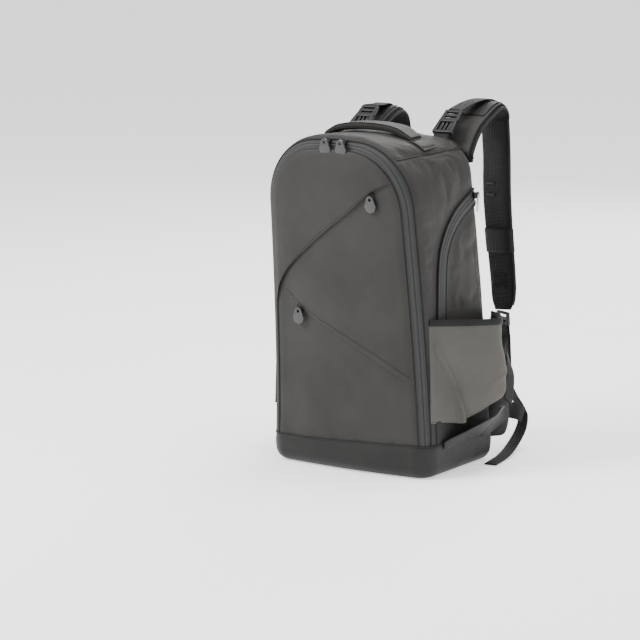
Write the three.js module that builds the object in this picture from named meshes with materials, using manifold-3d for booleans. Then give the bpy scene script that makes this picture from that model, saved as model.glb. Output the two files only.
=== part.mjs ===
// A camera backpack, zipped shut and standing on its base: a padded sack whose whole front opens as a
// flap, three layered front panels, a stretch pocket on each side and a shoulder harness behind.
// Millimetres. The origin is the middle of the base on the floor, the front faces -Y and +Z is up.
import * as THREE from "three";
import { mergeVertices } from "three/addons/utils/BufferGeometryUtils.js";
import Module from "manifold-3d";

const wasm = await Module();
wasm.setup();

// Air between pieces that touch.
const GAP = 0.3;

// The sack.
const BAG_WIDTH = 280;
const BAG_DEPTH = 192;
const BAG_HEIGHT = 494;
const SIDE_TAPER = 16; // each side comes in by this much at the top
const LEAN = 42; // the top stands this much further forward than the base
const FRONT_SWELL = 6; // the middle of the front stands this much proud of its edges
const TOP_CROWN = 7;
const BACK_DROP = 9; // the top falls this much from front to back
const FRONT_EDGE_RADIUS = 31;
const BACK_EDGE_RADIUS = 24;
const ARCH_WIDE = 98; // half-axes of the arch at the top corners of the front
const ARCH_HIGH = 108;
const BACK_CORNER_RADIUS = 50;
const WALL = 6;

// The base boot.
const BASE_HEIGHT = 45;
const BOOT_WALL = 3;
const BOOT_PROUD = 1;

// The front: the flap, the panels sewn on it and the zip round it.
const FLAP_WALL = 3.5;
const PANEL_WALL = 2;
const PANEL_STEP = 1.2; // each panel's edge lies this much over the next one
const ZIP_FRONT_ANGLE = 27; // where the zip tape starts and ends round the front edge, in degrees
const ZIP_SIDE_ANGLE = 63;
const ZIP_TAPE = 2;

// Zip sliders and their rubber pulls.
const SLIDER_WIDTH = 9;
const SLIDER_LENGTH = 13;
const SLIDER_THICK = 5;
const PULL_WIDTH = 19;
const PULL_LENGTH = 29;
const PULL_THICK = 2.6;
const PULL_HOLE = 5;
const METAL_PULL_WIDTH = 6;
const METAL_PULL_LENGTH = 28;
const METAL_PULL_THICK = 1.6;
const MAIN_SLIDER_SPACING = 27;
const MAIN_SLIDER_SHIFT = 5; // the pair is parked this far to the right of the middle

// The side access zip, on the right.
const SIDE_ZIP_WIDTH = 25;
const SIDE_ZIP_PROUD = 1.8;
const SIDE_ZIP_DROP = 92; // its upper end is this far below the top of the bag
const SIDE_ZIP_LOW = 205;
const SIDE_ZIP_FRONT = 37; // from the front edge of the side back to the zip's foot
const SIDE_ZIP_SHORT = 11; // its upper end stops this far in front of the back face

// The side pockets, in stretch fabric.
const POCKET_LOW = 75; // its lowest point, under the fold
const POCKET_FRONT_RISE = 11; // its bottom stands this much higher at the front
const POCKET_BACK_RISE = 54; // and this much at the back
const POCKET_HIGH = 236;
const POCKET_DIP = 12; // its rim falls this much to the back
const POCKET_FRONT = 3; // from the front edge of the side back to the pocket
const POCKET_LENGTH = 174;
const POCKET_BULGE = 57;
const POCKET_WALL = 2;
const BINDING_HIGH = 9;
const BINDING_PROUD = 1.1;

// The fin under each pocket, which carries the lower end of the shoulder strap.
const FIN_WALL = 2.6;
const FIN_LENGTH = 156;
const FIN_WIDE = 44;
const FIN_RISE = 42;
const FIN_TIP_BACK = 4; // the tip stands this far behind the back face
const FIN_TIP_OUT = 14; // and this far outside the base seam

// The top handle.
const HANDLE_SPAN = 150;
const HANDLE_WIDTH = 38;
const HANDLE_THICK = 10;
const HANDLE_CLEAR = 6; // it lies this far over the top of the bag
const HANDLE_DEPTH_SHARE = 0.58; // where it stands, from front to back
const PATCH_LENGTH = 24;
const PATCH_WALL = 2;

// The back.
const BACK_PAD_WIDTH = 184;
const BACK_PAD_LOW = 56;
const BACK_PAD_DROP = 58; // its upper end is this far below the top of the bag
const BACK_PAD_THICK = 14;

// The harness.
const STRAP_OUT = 84; // from the middle of the bag to the middle of a strap at its root
const STRAP_SPLAY = 20; // how much further out its lower end is
const STRAP_WIDTH = 64;
const STRAP_THICK = 12;
const RIGHT_STRAP_REACH = 122; // how far each strap stands behind the bag
const LEFT_STRAP_REACH = 92;
const STRAP_END_REACH = 122; // how far their lower ends do
const RIGHT_STRAP_RISE = 30; // how far its shoulder stands above the bag
const LEFT_STRAP_RISE = 17;
const STRAP_ROOT_DROP = 34; // its root is sewn on this far below the top
const STRAP_END = 210;
const STRAP_TURN = 24; // the hanging part is turned this far about the vertical, in degrees
const KEEPER_LOW = 298;
const KEEPER_HIGH = 334;
const COVER_WALL = 2;
const SHOULDER_PATCH_WIDTH = 46;
const SHOULDER_PATCH_LENGTH = 52;
const WEBBING = 25;
const NARROW_WEBBING = 20;
const WEBBING_THICK = 2;
const LIFTER_OUT = 74;
const LIFTER_RISE = 31; // its frame stands this far above the bag
const BUCKLE_LENGTH = 26;
const BUCKLE_WIDTH = 34;
const BUCKLE_THICK = 8;
const LADDER_LENGTH = 20;
const LADDER_WIDTH = 32;
const LADDER_THICK = 5;
const LADDER_BAR = 4;
const WING_HIGH = 106;
const WING_LOW = 28;
const WING_THICK = 12;
const WING_INSET = 7; // its end stands this far inside the bag's side
const WING_BACK = 38; // and this far back
const HIP_WEBBING_DROP = 17; // its webbing is sewn on this far below the wing's middle
const TAIL_OUT = 22; // how far the loose end lies outside the bag
const TAIL_FORWARD = 45; // where its tip lies, behind the middle of the bag
const TAIL_CLEAR = 1; // air under it

// The strap across the left side.
const SIDE_STRAP_DROP = 96; // it is this far below the top of the bag
const SIDE_STRAP_LENGTH = 116;

const FABRIC = { color: 0x5a5753, roughness: 0.8, metalness: 0 };
const BOOT_FABRIC = { color: 0x3e3d3c, roughness: 0.55, metalness: 0 };
const STRETCH_FABRIC = { color: 0x7f7b73, roughness: 0.85, metalness: 0 };
const ZIP_CLOTH = { color: 0x55565a, roughness: 0.75, metalness: 0 };
const BLACK_CLOTH = { color: 0x1e1e1f, roughness: 0.85, metalness: 0 };
const BLACK_PLASTIC = { color: 0x1a1a1b, roughness: 0.4, metalness: 0 };
const RUBBER = { color: 0x66666a, roughness: 0.6, metalness: 0 };
const STEEL = { color: 0xd8d8da, roughness: 0.25, metalness: 1 };

const group = new THREE.Group();
group.name = "camera_backpack";

const radians = THREE.MathUtils.degToRad;
const blend = THREE.MathUtils.lerp;
const point = (x, y, z) => new THREE.Vector3(x, y, z);

// A closed mesh as a solid, turned the right way out whichever way its rings run.
function solid(geometry) {
  geometry.deleteAttribute("normal");
  geometry.deleteAttribute("uv");
  const merged = mergeVertices(geometry, 1e-4);
  const triVerts = new Uint32Array(merged.index.array);
  const build = () =>
    new wasm.Manifold(
      new wasm.Mesh({
        numProp: 3,
        vertProperties: new Float32Array(merged.attributes.position.array),
        triVerts,
      }),
    );
  const made = build();
  if (made.volume() >= 0) {
    return made;
  }
  for (let i = 0; i < triVerts.length; i += 3) {
    [triVerts[i + 1], triVerts[i + 2]] = [triVerts[i + 2], triVerts[i + 1]];
  }
  return build();
}

// One named piece of the bag.
function add(name, shape, finish) {
  const data = shape.getMesh();
  const positions = new Float32Array(data.numVert * 3);
  for (let i = 0; i < data.numVert; i++) {
    positions.set(data.vertProperties.subarray(i * data.numProp, i * data.numProp + 3), i * 3);
  }
  const geometry = new THREE.BufferGeometry();
  geometry.setAttribute("position", new THREE.BufferAttribute(positions, 3));
  geometry.setIndex(new THREE.BufferAttribute(new Uint32Array(data.triVerts), 1));
  geometry.computeVertexNormals();
  const mesh = new THREE.Mesh(geometry, new THREE.MeshStandardMaterial(finish));
  mesh.name = name;
  group.add(mesh);
}

// A closed solid through rings of equal length: a cylinder whose rows are moved onto the rings.
function loft(rings) {
  const sides = rings[0].length;
  const steps = rings.length - 1;
  const cylinder = new THREE.CylinderGeometry(1, 1, steps, sides, steps);
  cylinder.deleteAttribute("normal");
  cylinder.deleteAttribute("uv");
  const merged = mergeVertices(cylinder);
  const position = merged.getAttribute("position");
  const spot = new THREE.Vector3();
  for (let i = 0; i < position.count; i++) {
    spot.fromBufferAttribute(position, i);
    const ring = rings[Math.round(spot.y + steps / 2)];
    const column = Math.round((Math.atan2(spot.x, spot.z) / (2 * Math.PI)) * sides);
    if (Math.hypot(spot.x, spot.z) > 0.5) {
      spot.copy(ring[(column + sides) % sides]);
    } else {
      spot.set(0, 0, 0);
      ring.forEach((corner) => spot.addScaledVector(corner, 1 / sides));
    }
    position.setXYZ(i, spot.x, spot.y, spot.z);
  }
  return solid(merged);
}

function block(x0, x1, y0, y1, z0, z1) {
  const box = new THREE.BoxGeometry(x1 - x0, y1 - y0, z1 - z0);
  return solid(box.translate((x0 + x1) / 2, (y0 + y1) / 2, (z0 + z1) / 2));
}

// A flat outline drawn on X and Z, made solid between two depths.
function prism(shape, y0, y1) {
  const plate = new THREE.ExtrudeGeometry(shape, { depth: y1 - y0, bevelEnabled: false });
  return solid(plate.rotateX(Math.PI / 2).translate(0, y1, 0));
}

// Where the sack's walls are at a height.
const rise = (z) => Math.max(0, z - BASE_HEIGHT) / (BAG_HEIGHT - BASE_HEIGHT);
const lean = (z) => -LEAN * rise(z) ** 1.5;
const halfWidth = (z) => BAG_WIDTH / 2 - SIDE_TAPER * rise(z);
const frontY = (z) => -BAG_DEPTH / 2 + lean(z);
const backY = (z) => BAG_DEPTH / 2 + lean(z);

// The sack seen from the front at one depth: straight sides, elliptical corners and a crowned top.
const SIDE_STEPS = 5;
const CORNER_STEPS = 5;
const LEAST_CORNER = 3;
function archSizes(inset, depthShare) {
  const top = BAG_HEIGHT - BACK_DROP * depthShare - inset;
  const wide = Math.max(blend(ARCH_WIDE, BACK_CORNER_RADIUS, depthShare) - inset, LEAST_CORNER);
  const high = Math.max(blend(ARCH_HIGH, BACK_CORNER_RADIUS, depthShare) - inset, LEAST_CORNER);
  const shoulder = top - high;
  const flat = halfWidth(shoulder) - inset - wide;
  return { top, wide, high, shoulder, flat, crown: (TOP_CROWN * flat) / halfWidth(shoulder) };
}
function archOutline(inset, depthShare, bottom) {
  const arch = archSizes(inset, depthShare);
  const right = [];
  for (let i = 0; i <= SIDE_STEPS; i++) {
    const z = blend(bottom, arch.shoulder, i / SIDE_STEPS);
    right.push([halfWidth(z) - inset, z]);
  }
  for (let i = 1; i <= CORNER_STEPS; i++) {
    const angle = (i / CORNER_STEPS) * (Math.PI / 2);
    right.push([arch.flat + arch.wide * Math.cos(angle), arch.shoulder + arch.high * Math.sin(angle)]);
  }
  right.push([arch.flat / 2, arch.top + arch.crown * 0.75]);
  const left = right.map(([x, z]) => [-x, z]).reverse();
  return [...right, [0, arch.top + arch.crown], ...left];
}

// The height of the top of the sack at a distance from its middle.
function topZ(x, depthShare) {
  const arch = archSizes(0, depthShare);
  const across = Math.abs(x);
  if (across <= arch.flat) {
    return arch.top + arch.crown * (1 - (across / arch.flat) ** 2);
  }
  return arch.shoulder + arch.high * Math.sqrt(Math.max(0, 1 - ((across - arch.flat) / arch.wide) ** 2));
}

// How far round each edge the rows stand, in degrees, and how far in from the side the others stand.
const FRONT_EDGE_ANGLES = [0, 20, 45, 70, 90];
const BACK_EDGE_ANGLES = [90, 45, 0];
const FACE_INSETS = [0.84, 0.58, 0.38];
const faceInset = (share) => (share * BAG_WIDTH) / 2;
const swellAt = (inset) =>
  FRONT_SWELL * (1 - ((BAG_WIDTH / 2 - inset) / (BAG_WIDTH / 2 - FRONT_EDGE_RADIUS)) ** 2);

// The sack's form, grown or shrunk on all sides but the bottom.
function form(grow, bottom) {
  const rows = FACE_INSETS.map((share) => ({
    inset: faceInset(share),
    y: -BAG_DEPTH / 2 - swellAt(faceInset(share)) - grow,
  }));
  FRONT_EDGE_ANGLES.forEach((angle) => {
    rows.push({
      inset: FRONT_EDGE_RADIUS - (FRONT_EDGE_RADIUS + grow) * Math.sin(radians(angle)),
      y: -BAG_DEPTH / 2 + FRONT_EDGE_RADIUS - (FRONT_EDGE_RADIUS + grow) * Math.cos(radians(angle)),
    });
  });
  rows.push({ inset: -grow, y: 0 });
  BACK_EDGE_ANGLES.forEach((angle) => {
    rows.push({
      inset: BACK_EDGE_RADIUS - (BACK_EDGE_RADIUS + grow) * Math.sin(radians(angle)),
      y: BAG_DEPTH / 2 - BACK_EDGE_RADIUS + (BACK_EDGE_RADIUS + grow) * Math.cos(radians(angle)),
    });
  });
  rows.push({ inset: faceInset(FACE_INSETS[0]), y: BAG_DEPTH / 2 + grow });
  return loft(
    rows.map(({ inset, y }) => {
      const depthShare = THREE.MathUtils.clamp(y / BAG_DEPTH + 0.5, 0, 1);
      return archOutline(inset, depthShare, bottom).map(([x, z]) => point(x, y + lean(z), z));
    }),
  );
}

// A block whose front and back lean as the bag does.
const LEAN_STEPS = 12;
const FAR = 2 * BAG_HEIGHT;
function leaningBlock(y0, y1, z0, z1) {
  const box = new THREE.BoxGeometry(FAR, y1 - y0, z1 - z0, 1, 1, LEAN_STEPS);
  box.translate(0, (y0 + y1) / 2, (z0 + z1) / 2);
  const position = box.getAttribute("position");
  for (let i = 0; i < position.count; i++) {
    position.setY(i, position.getY(i) + lean(position.getZ(i)));
  }
  return solid(box);
}
const above = (z) => block(-FAR, FAR, -FAR, FAR, z, FAR);
const below = (z) => block(-FAR, FAR, -FAR, FAR, -FAR, z);

// The skin of the sack between two offsets.
const skin = (outside, inside) => form(outside, 0).subtract(form(inside, 0).add(form(inside, -WALL)));

// Base boot: a shallow cup round the foot of the sack.
const bootInside = BOOT_PROUD - BOOT_WALL;
add(
  "base_boot",
  form(BOOT_PROUD, 0).subtract(form(bootInside, BOOT_WALL)).intersect(below(BASE_HEIGHT)),
  BOOT_FABRIC,
);

// The sack: full size above the base seam, and drawn in below it where the boot goes round.
const seam = BASE_HEIGHT + GAP;
function sack(grow) {
  const foot = form(bootInside - GAP + grow, BOOT_WALL + GAP - grow).intersect(below(seam - 2 * grow + GAP));
  return form(grow, seam - grow).add(foot);
}
const mouthY = -BAG_DEPTH / 2 + FRONT_EDGE_RADIUS * (1 - Math.cos(radians(ZIP_SIDE_ANGLE)));
const mouth = leaningBlock(-FAR, mouthY + GAP, seam, FAR);
add("body_shell", sack(0).subtract(sack(-WALL)).subtract(mouth), FABRIC);

// The zip round the front, in the corner between the flap and the sack.
const flapInset = FRONT_EDGE_RADIUS * (1 - Math.sin(radians(ZIP_FRONT_ANGLE)));
const flapDepthShare = (FRONT_EDGE_RADIUS * (1 - Math.cos(radians(ZIP_FRONT_ANGLE)))) / BAG_DEPTH;
function flapPrism(inset, bottom) {
  const outline = archOutline(inset, flapDepthShare, bottom);
  return prism(new THREE.Shape(outline.map(([x, z]) => new THREE.Vector2(x, z))), -FAR, 0);
}
add(
  "main_zip",
  skin(0, -ZIP_TAPE)
    .intersect(leaningBlock(-FAR, mouthY, seam, FAR))
    .subtract(flapPrism(flapInset, 0)),
  ZIP_CLOTH,
);

// The flap: a padded board with three panels sewn over it.
// Each seam is listed from right to left, as shares of half the bag's width and of its height.
const UPPER_SEAM = [
  { across: 1.1, up: 0.92 },
  { across: 0.774, up: 0.887 },
  { across: 0.639, up: 0.873 },
  { across: 0.496, up: 0.852 },
  { across: 0.241, up: 0.793 },
  { across: -0.024, up: 0.739 },
  { across: -0.303, up: 0.678 },
  { across: -0.6, up: 0.607 },
  { across: -0.755, up: 0.548 },
  { across: -0.846, up: 0.481 },
  { across: -1.1, up: 0.38 },
];
const LOWER_SEAM = [
  { across: 1.1, up: 0.23 },
  { across: 0.859, up: 0.277 },
  { across: 0.616, up: 0.32 },
  { across: 0.383, up: 0.357 },
  { across: 0.142, up: 0.393 },
  { across: -0.105, up: 0.43 },
  { across: -0.49, up: 0.49 },
  { across: -0.68, up: 0.54 },
  { across: -0.8, up: 0.59 },
  { across: -1.1, up: 0.7 },
];
function aboveSeam(rows, lift) {
  const spot = ({ across, up }) => new THREE.Vector2((across * BAG_WIDTH) / 2, up * BAG_HEIGHT + lift);
  const line = rows.map(spot);
  const top = [new THREE.Vector2(line.at(-1).x, FAR), new THREE.Vector2(line[0].x, FAR)];
  return prism(new THREE.Shape([...line, ...top]), -FAR, 0);
}
const flapEdge = flapPrism(flapInset + GAP, seam);
const panelBack = -ZIP_TAPE - PANEL_WALL;
add("front_flap", skin(panelBack - GAP, panelBack - GAP - FLAP_WALL).intersect(flapEdge), FABRIC);
const panel = (lift) => skin(lift, panelBack).intersect(flapEdge);
const upperPanel = panel(PANEL_STEP - ZIP_TAPE + PANEL_STEP).intersect(aboveSeam(UPPER_SEAM, 0));
add("front_upper_panel", upperPanel, FABRIC);
const underUpper = panel(PANEL_STEP - ZIP_TAPE).subtract(aboveSeam(UPPER_SEAM, -GAP));
add("front_middle_panel", underUpper.intersect(aboveSeam(LOWER_SEAM, 0)), FABRIC);
const lowest = panel(-ZIP_TAPE).subtract(aboveSeam(UPPER_SEAM, -GAP)).subtract(aboveSeam(LOWER_SEAM, -GAP));
add("front_lower_panel", lowest, FABRIC);

// The front's surface at a place, for what hangs on it.
function frontSkin(x, z) {
  const inset = Math.max(Math.min(halfWidth(z) - Math.abs(x), BAG_HEIGHT - z), FRONT_EDGE_RADIUS);
  return frontY(z) - swellAt(inset);
}

// A rubber pull: a teardrop with an eye, hanging from the middle of its eye.
const EYE_SIDES = 8;
const ARC_STEPS = 4;
const NECK_SHARE = 0.32; // half the width of the pull at its eye
function arc(y, radius, from, to, steps) {
  const points = [];
  for (let i = 0; i <= steps; i++) {
    const angle = blend(from, to, i / steps);
    points.push(new THREE.Vector2(radius * Math.cos(angle), y + radius * Math.sin(angle)));
  }
  return points;
}
function pullShape(width, length, eye) {
  const head = arc(0, width * NECK_SHARE, 0, Math.PI, ARC_STEPS);
  const foot = arc(width - length, width / 2, Math.PI, 2 * Math.PI, ARC_STEPS);
  const shape = new THREE.Shape([...head, ...foot]);
  const lastCorner = (2 * Math.PI * (EYE_SIDES - 1)) / EYE_SIDES;
  shape.holes.push(new THREE.Path(arc(0, eye / 2, 0, lastCorner, EYE_SIDES - 1)));
  return shape;
}
function rubberPull(x, y, z) {
  const plate = new THREE.ExtrudeGeometry(pullShape(PULL_WIDTH, PULL_LENGTH, PULL_HOLE), {
    depth: PULL_THICK,
    bevelEnabled: false,
  });
  const made = plate.rotateX(Math.PI / 2).translate(x, y, z);
  const position = made.getAttribute("position");
  for (let i = 0; i < position.count; i++) {
    position.setY(i, position.getY(i) + lean(position.getZ(i)) - lean(z));
  }
  return solid(made);
}
function slider(x, y, z, tilt) {
  const body = new THREE.BoxGeometry(SLIDER_WIDTH, SLIDER_THICK, SLIDER_LENGTH);
  return solid(body.rotateX(radians(tilt)).translate(x, y, z));
}

// Two sliders meet on the main zip, at the top.
const zipMiddle = (ZIP_FRONT_ANGLE + ZIP_SIDE_ANGLE) / 2;
const sliderOut = FRONT_EDGE_RADIUS + SLIDER_THICK / 2 + GAP;
["left", "right"].forEach((side, i) => {
  const x = MAIN_SLIDER_SHIFT + (i - 0.5) * MAIN_SLIDER_SPACING;
  const top = topZ(x, 0);
  const z = top - FRONT_EDGE_RADIUS + sliderOut * Math.sin(radians(zipMiddle));
  const y = frontY(z) + FRONT_EDGE_RADIUS - sliderOut * Math.cos(radians(zipMiddle));
  add("main_zip_slider_" + side, slider(x, y, z, -zipMiddle), BLACK_PLASTIC);
  const pullY = y - (SLIDER_LENGTH / 2 + SLIDER_THICK / 2) * Math.SQRT1_2 - 2 * GAP;
  add("main_zip_pull_" + side, rubberPull(x, pullY, z), RUBBER);
});

// One slider and pull under the edge of each front pocket.
const POCKET_PULLS = [
  { name: "upper_pocket", across: 0.492, up: 0.838, proud: 1 },
  { name: "lower_pocket", across: -0.498, up: 0.482, proud: 0.25 },
];
POCKET_PULLS.forEach(({ name, across, up, proud }) => {
  const x = (across * BAG_WIDTH) / 2;
  const z = up * BAG_HEIGHT;
  const y = frontSkin(x, z) - proud * PANEL_STEP;
  add(name + "_slider", slider(x, y - SLIDER_THICK / 2, z, 0), BLACK_PLASTIC);
  add(name + "_pull", rubberPull(x, y - SLIDER_THICK - 2 * GAP, z - SLIDER_LENGTH / 4), RUBBER);
});

// A stripe of even width along a smooth line, as a flat outline.
function stripe(points, width) {
  const curve = new THREE.SplineCurve(points.map(([x, y]) => new THREE.Vector2(x, y)));
  const steps = 3 * points.length;
  const edges = [1, -1].map((side) => {
    const edge = [];
    for (let i = 0; i <= steps; i++) {
      const along = curve.getTangent(i / steps);
      const middle = curve.getPoint(i / steps);
      edge.push(middle.add(new THREE.Vector2(-along.y, along.x).multiplyScalar((side * width) / 2)));
    }
    return edge;
  });
  return new THREE.Shape([...edges[0], ...edges[1].reverse()]);
}

// A flat outline drawn on Y and Z, made solid between two distances from the middle of the bag.
function sidePrism(shape, x0, x1) {
  const plate = new THREE.ExtrudeGeometry(shape, { depth: x1 - x0, bevelEnabled: false });
  return solid(plate.rotateX(Math.PI / 2).rotateZ(Math.PI / 2).translate(x0, 0, 0));
}

// The side access zip: from the back edge it runs forward and down behind the pocket.
// Shares of its reach, from its foot backwards, and of its height.
const SIDE_ZIP_LINE = [
  { back: 1, up: 1 },
  { back: 0.8, up: 0.95 },
  { back: 0.54, up: 0.88 },
  { back: 0.3, up: 0.775 },
  { back: 0.13, up: 0.64 },
  { back: 0.07, up: 0.52 },
  { back: 0.04, up: 0.37 },
  { back: 0.02, up: 0.2 },
  { back: 0, up: 0 },
];
const sideFront = (z) => mouthY + lean(z);
const zipFootY = sideFront(SIDE_ZIP_LOW) + SIDE_ZIP_FRONT;
const zipHigh = BAG_HEIGHT - SIDE_ZIP_DROP;
const zipLine = SIDE_ZIP_LINE.map(({ back, up }) => [
  blend(zipFootY, backY(zipHigh) - SIDE_ZIP_SHORT, back),
  blend(SIDE_ZIP_LOW, zipHigh, up),
]);
add(
  "side_zip",
  sidePrism(stripe(zipLine, SIDE_ZIP_WIDTH), BAG_WIDTH / 4, BAG_WIDTH)
    .intersect(form(SIDE_ZIP_PROUD + GAP, 0))
    .subtract(form(GAP, -WALL)),
  ZIP_CLOTH,
);
const [zipTopY, zipTopZ] = zipLine[0];
const zipTopX = halfWidth(zipTopZ) + SIDE_ZIP_PROUD + 2 * GAP;
add(
  "side_zip_slider",
  solid(
    new THREE.BoxGeometry(SLIDER_THICK, SLIDER_LENGTH, SLIDER_WIDTH).translate(
      zipTopX + SLIDER_THICK / 2,
      zipTopY - SLIDER_LENGTH / 2,
      zipTopZ,
    ),
  ),
  BLACK_PLASTIC,
);
const metalShape = pullShape(METAL_PULL_WIDTH, METAL_PULL_LENGTH, METAL_PULL_WIDTH / 3);
const metalPull = new THREE.ExtrudeGeometry(metalShape, { depth: METAL_PULL_THICK, bevelEnabled: false });
metalPull.rotateX(Math.PI / 2).rotateZ(Math.PI / 2);
metalPull.translate(zipTopX + SLIDER_THICK + GAP, zipTopY - SLIDER_LENGTH / 2, zipTopZ);
add("side_zip_pull", solid(metalPull), STEEL);

// Side pockets. Rows go from the pocket's bottom to its rim: the crease where the front gusset ends and
// the full part starts, as a share of the pocket's length, how far it stands off, and the bulge.
const POCKET_ROWS = [
  { up: 0, crease: 0.34, lift: 0.12, bulge: 0.8 },
  { up: 0.08, crease: 0.32, lift: 0.14, bulge: 0.9 },
  { up: 0.33, crease: 0.24, lift: 0.12, bulge: 0.97 },
  { up: 0.55, crease: 0.14, lift: 0.08, bulge: 1 },
  { up: 0.72, crease: 0.05, lift: 0.05, bulge: 1 },
  { up: 1, crease: 0.04, lift: 0.05, bulge: 1 },
];
// Behind the crease the section swells and closes again.
const POCKET_SECTION = [
  { along: 0, out: 0 },
  { along: 0.2, out: 0.44 },
  { along: 0.4, out: 0.77 },
  { along: 0.6, out: 0.96 },
  { along: 0.76, out: 0.68 },
  { along: 0.9, out: 0.36 },
  { along: 1, out: 0 },
];
const foldShare = POCKET_ROWS[0].crease;
function pocketBottom(share) {
  if (share < foldShare) {
    return POCKET_LOW + POCKET_FRONT_RISE * (1 - share / foldShare);
  }
  return POCKET_LOW + (POCKET_BACK_RISE * (share - foldShare)) / (1 - foldShare);
}
const pocketRim = (share) => POCKET_HIGH - POCKET_DIP * share;
function pocketSection(side, row, inward, heightAt) {
  const middle = heightAt(0.5);
  const front = sideFront(middle) + POCKET_FRONT + inward;
  const length = POCKET_LENGTH - 2 * inward;
  const wall = halfWidth(middle);
  const bulge = row.bulge * POCKET_BULGE;
  const lift = row.lift * POCKET_BULGE;
  const ring = [point(side * (wall - WALL / 2), front, heightAt(0))];
  POCKET_SECTION.forEach(({ along, out }) => {
    const share = row.crease + (1 - row.crease) * along;
    const stands = along < 1 ? blend(lift, bulge, out) - inward : -WALL / 2;
    ring.push(point(side * (wall + stands), front + length * share, heightAt(share)));
  });
  return ring;
}
function pocketForm(side, inward, floorAbove) {
  return loft(
    POCKET_ROWS.map((row) =>
      pocketSection(side, row, inward, (share) =>
        blend(pocketBottom(share) + floorAbove, pocketRim(share) - BINDING_HIGH, row.up),
      ),
    ),
  );
}
function rimSlab(side, inward, low, high) {
  const rim = POCKET_ROWS.at(-1);
  const rings = [low, high].map((under) =>
    pocketSection(side, rim, inward, (share) => pocketRim(share) - under),
  );
  return loft(rings);
}
const bootRoom = form(BOOT_PROUD + GAP, -WALL).intersect(below(BASE_HEIGHT + GAP));
const clearOfSack = sack(GAP).add(bootRoom);
const SIDES = [
  { side: 1, name: "right", reach: RIGHT_STRAP_REACH, bendZ: BAG_HEIGHT + RIGHT_STRAP_RISE },
  { side: -1, name: "left", reach: LEFT_STRAP_REACH, bendZ: BAG_HEIGHT + LEFT_STRAP_RISE },
];
SIDES.forEach(({ side, name }) => {
  const hollow = pocketForm(side, POCKET_WALL, POCKET_WALL);
  const mouthRoom = rimSlab(side, POCKET_WALL, BINDING_HIGH + 1, -1);
  add(
    "side_pocket_" + name,
    pocketForm(side, 0, 0).subtract(hollow.add(mouthRoom)).subtract(clearOfSack),
    STRETCH_FABRIC,
  );
  add(
    "pocket_binding_" + name,
    rimSlab(side, -BINDING_PROUD, BINDING_HIGH - GAP, 0)
      .subtract(mouthRoom)
      .subtract(clearOfSack),
    BLACK_CLOTH,
  );
});

// A flat band through stops. Each stop has its middle, the way its width points, its width and thickness.
const FLAT_SECTION = [
  [-1, -1],
  [1, -1],
  [1, 1],
  [-1, 1],
];
const PADDED_SECTION = [
  [-1, -0.4],
  [-0.88, -1],
  [0.88, -1],
  [1, -0.4],
  [1, 0.4],
  [0.88, 1],
  [-0.88, 1],
  [-1, 0.4],
];
function band(section, stops) {
  return loft(
    stops.map((stop, i) => {
      const before = stops[Math.max(i - 1, 0)].middle;
      const after = stops[Math.min(i + 1, stops.length - 1)].middle;
      const along = after.clone().sub(before).normalize();
      const across = stop.across.clone().addScaledVector(along, -stop.across.dot(along)).normalize();
      const out = along.clone().cross(across);
      return section.map(([w, t]) =>
        stop.middle
          .clone()
          .addScaledVector(across, (w * stop.width) / 2)
          .addScaledVector(out, (t * stop.thick) / 2),
      );
    }),
  );
}

// The fin: a folded sheet from the base seam out to a tip behind the pocket.
// Shares of its length, its width and the room under the pocket.
const FIN_ROWS = [
  { back: 0, wide: 0.04, up: 0.3 },
  { back: 0.25, wide: 0.4, up: 0.8 },
  { back: 0.5, wide: 0.9, up: 0.85 },
  { back: 0.68, wide: 0.8, up: 0.78 },
  { back: 0.85, wide: 0.5, up: 0.6 },
];
const finStart = BAG_DEPTH / 2 + FIN_TIP_BACK - FIN_LENGTH;
const finFootX = BAG_WIDTH / 2 + BOOT_PROUD + GAP + FIN_WALL / 2;
const finTip = (side) =>
  point(side * (finFootX + FIN_TIP_OUT), BAG_DEPTH / 2 + FIN_TIP_BACK, BASE_HEIGHT + FIN_RISE);
function fin(side) {
  const pocketStart = sideFront(POCKET_LOW) + POCKET_FRONT;
  const stops = FIN_ROWS.map(({ back, wide, up }) => {
    const foot = point(side * finFootX, finStart + back * FIN_LENGTH, BASE_HEIGHT - FIN_WALL);
    const room = pocketBottom((foot.y - pocketStart) / POCKET_LENGTH) - BASE_HEIGHT - FIN_WALL;
    const reach = point(side * wide * FIN_WIDE, 0, up * room);
    return {
      middle: foot.clone().addScaledVector(reach, 0.5),
      across: reach.clone().normalize(),
      width: reach.length(),
      thick: FIN_WALL,
    };
  });
  stops.push({
    middle: finTip(side).add(point(0, 0, -NARROW_WEBBING / 2)),
    across: point(0, 0, 1),
    width: NARROW_WEBBING,
    thick: FIN_WALL,
  });
  return band(FLAT_SECTION, stops);
}

// The strap from its root on the back, up and over the shoulder bend and down.
// Shares of its reach behind the bag, of its rise above the bag and of its splay.
const STRAP_OVER = [
  { back: 0.02, up: 0, splay: 0, turn: 0 },
  { back: 0.22, up: 0.5, splay: 0, turn: 0 },
  { back: 0.5, up: 0.78, splay: 0.02, turn: 0 },
  { back: 0.8, up: 0.96, splay: 0.05, turn: 0.3 },
  { back: 0.94, up: 0.86, splay: 0.08, turn: 0.6 },
];
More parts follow.
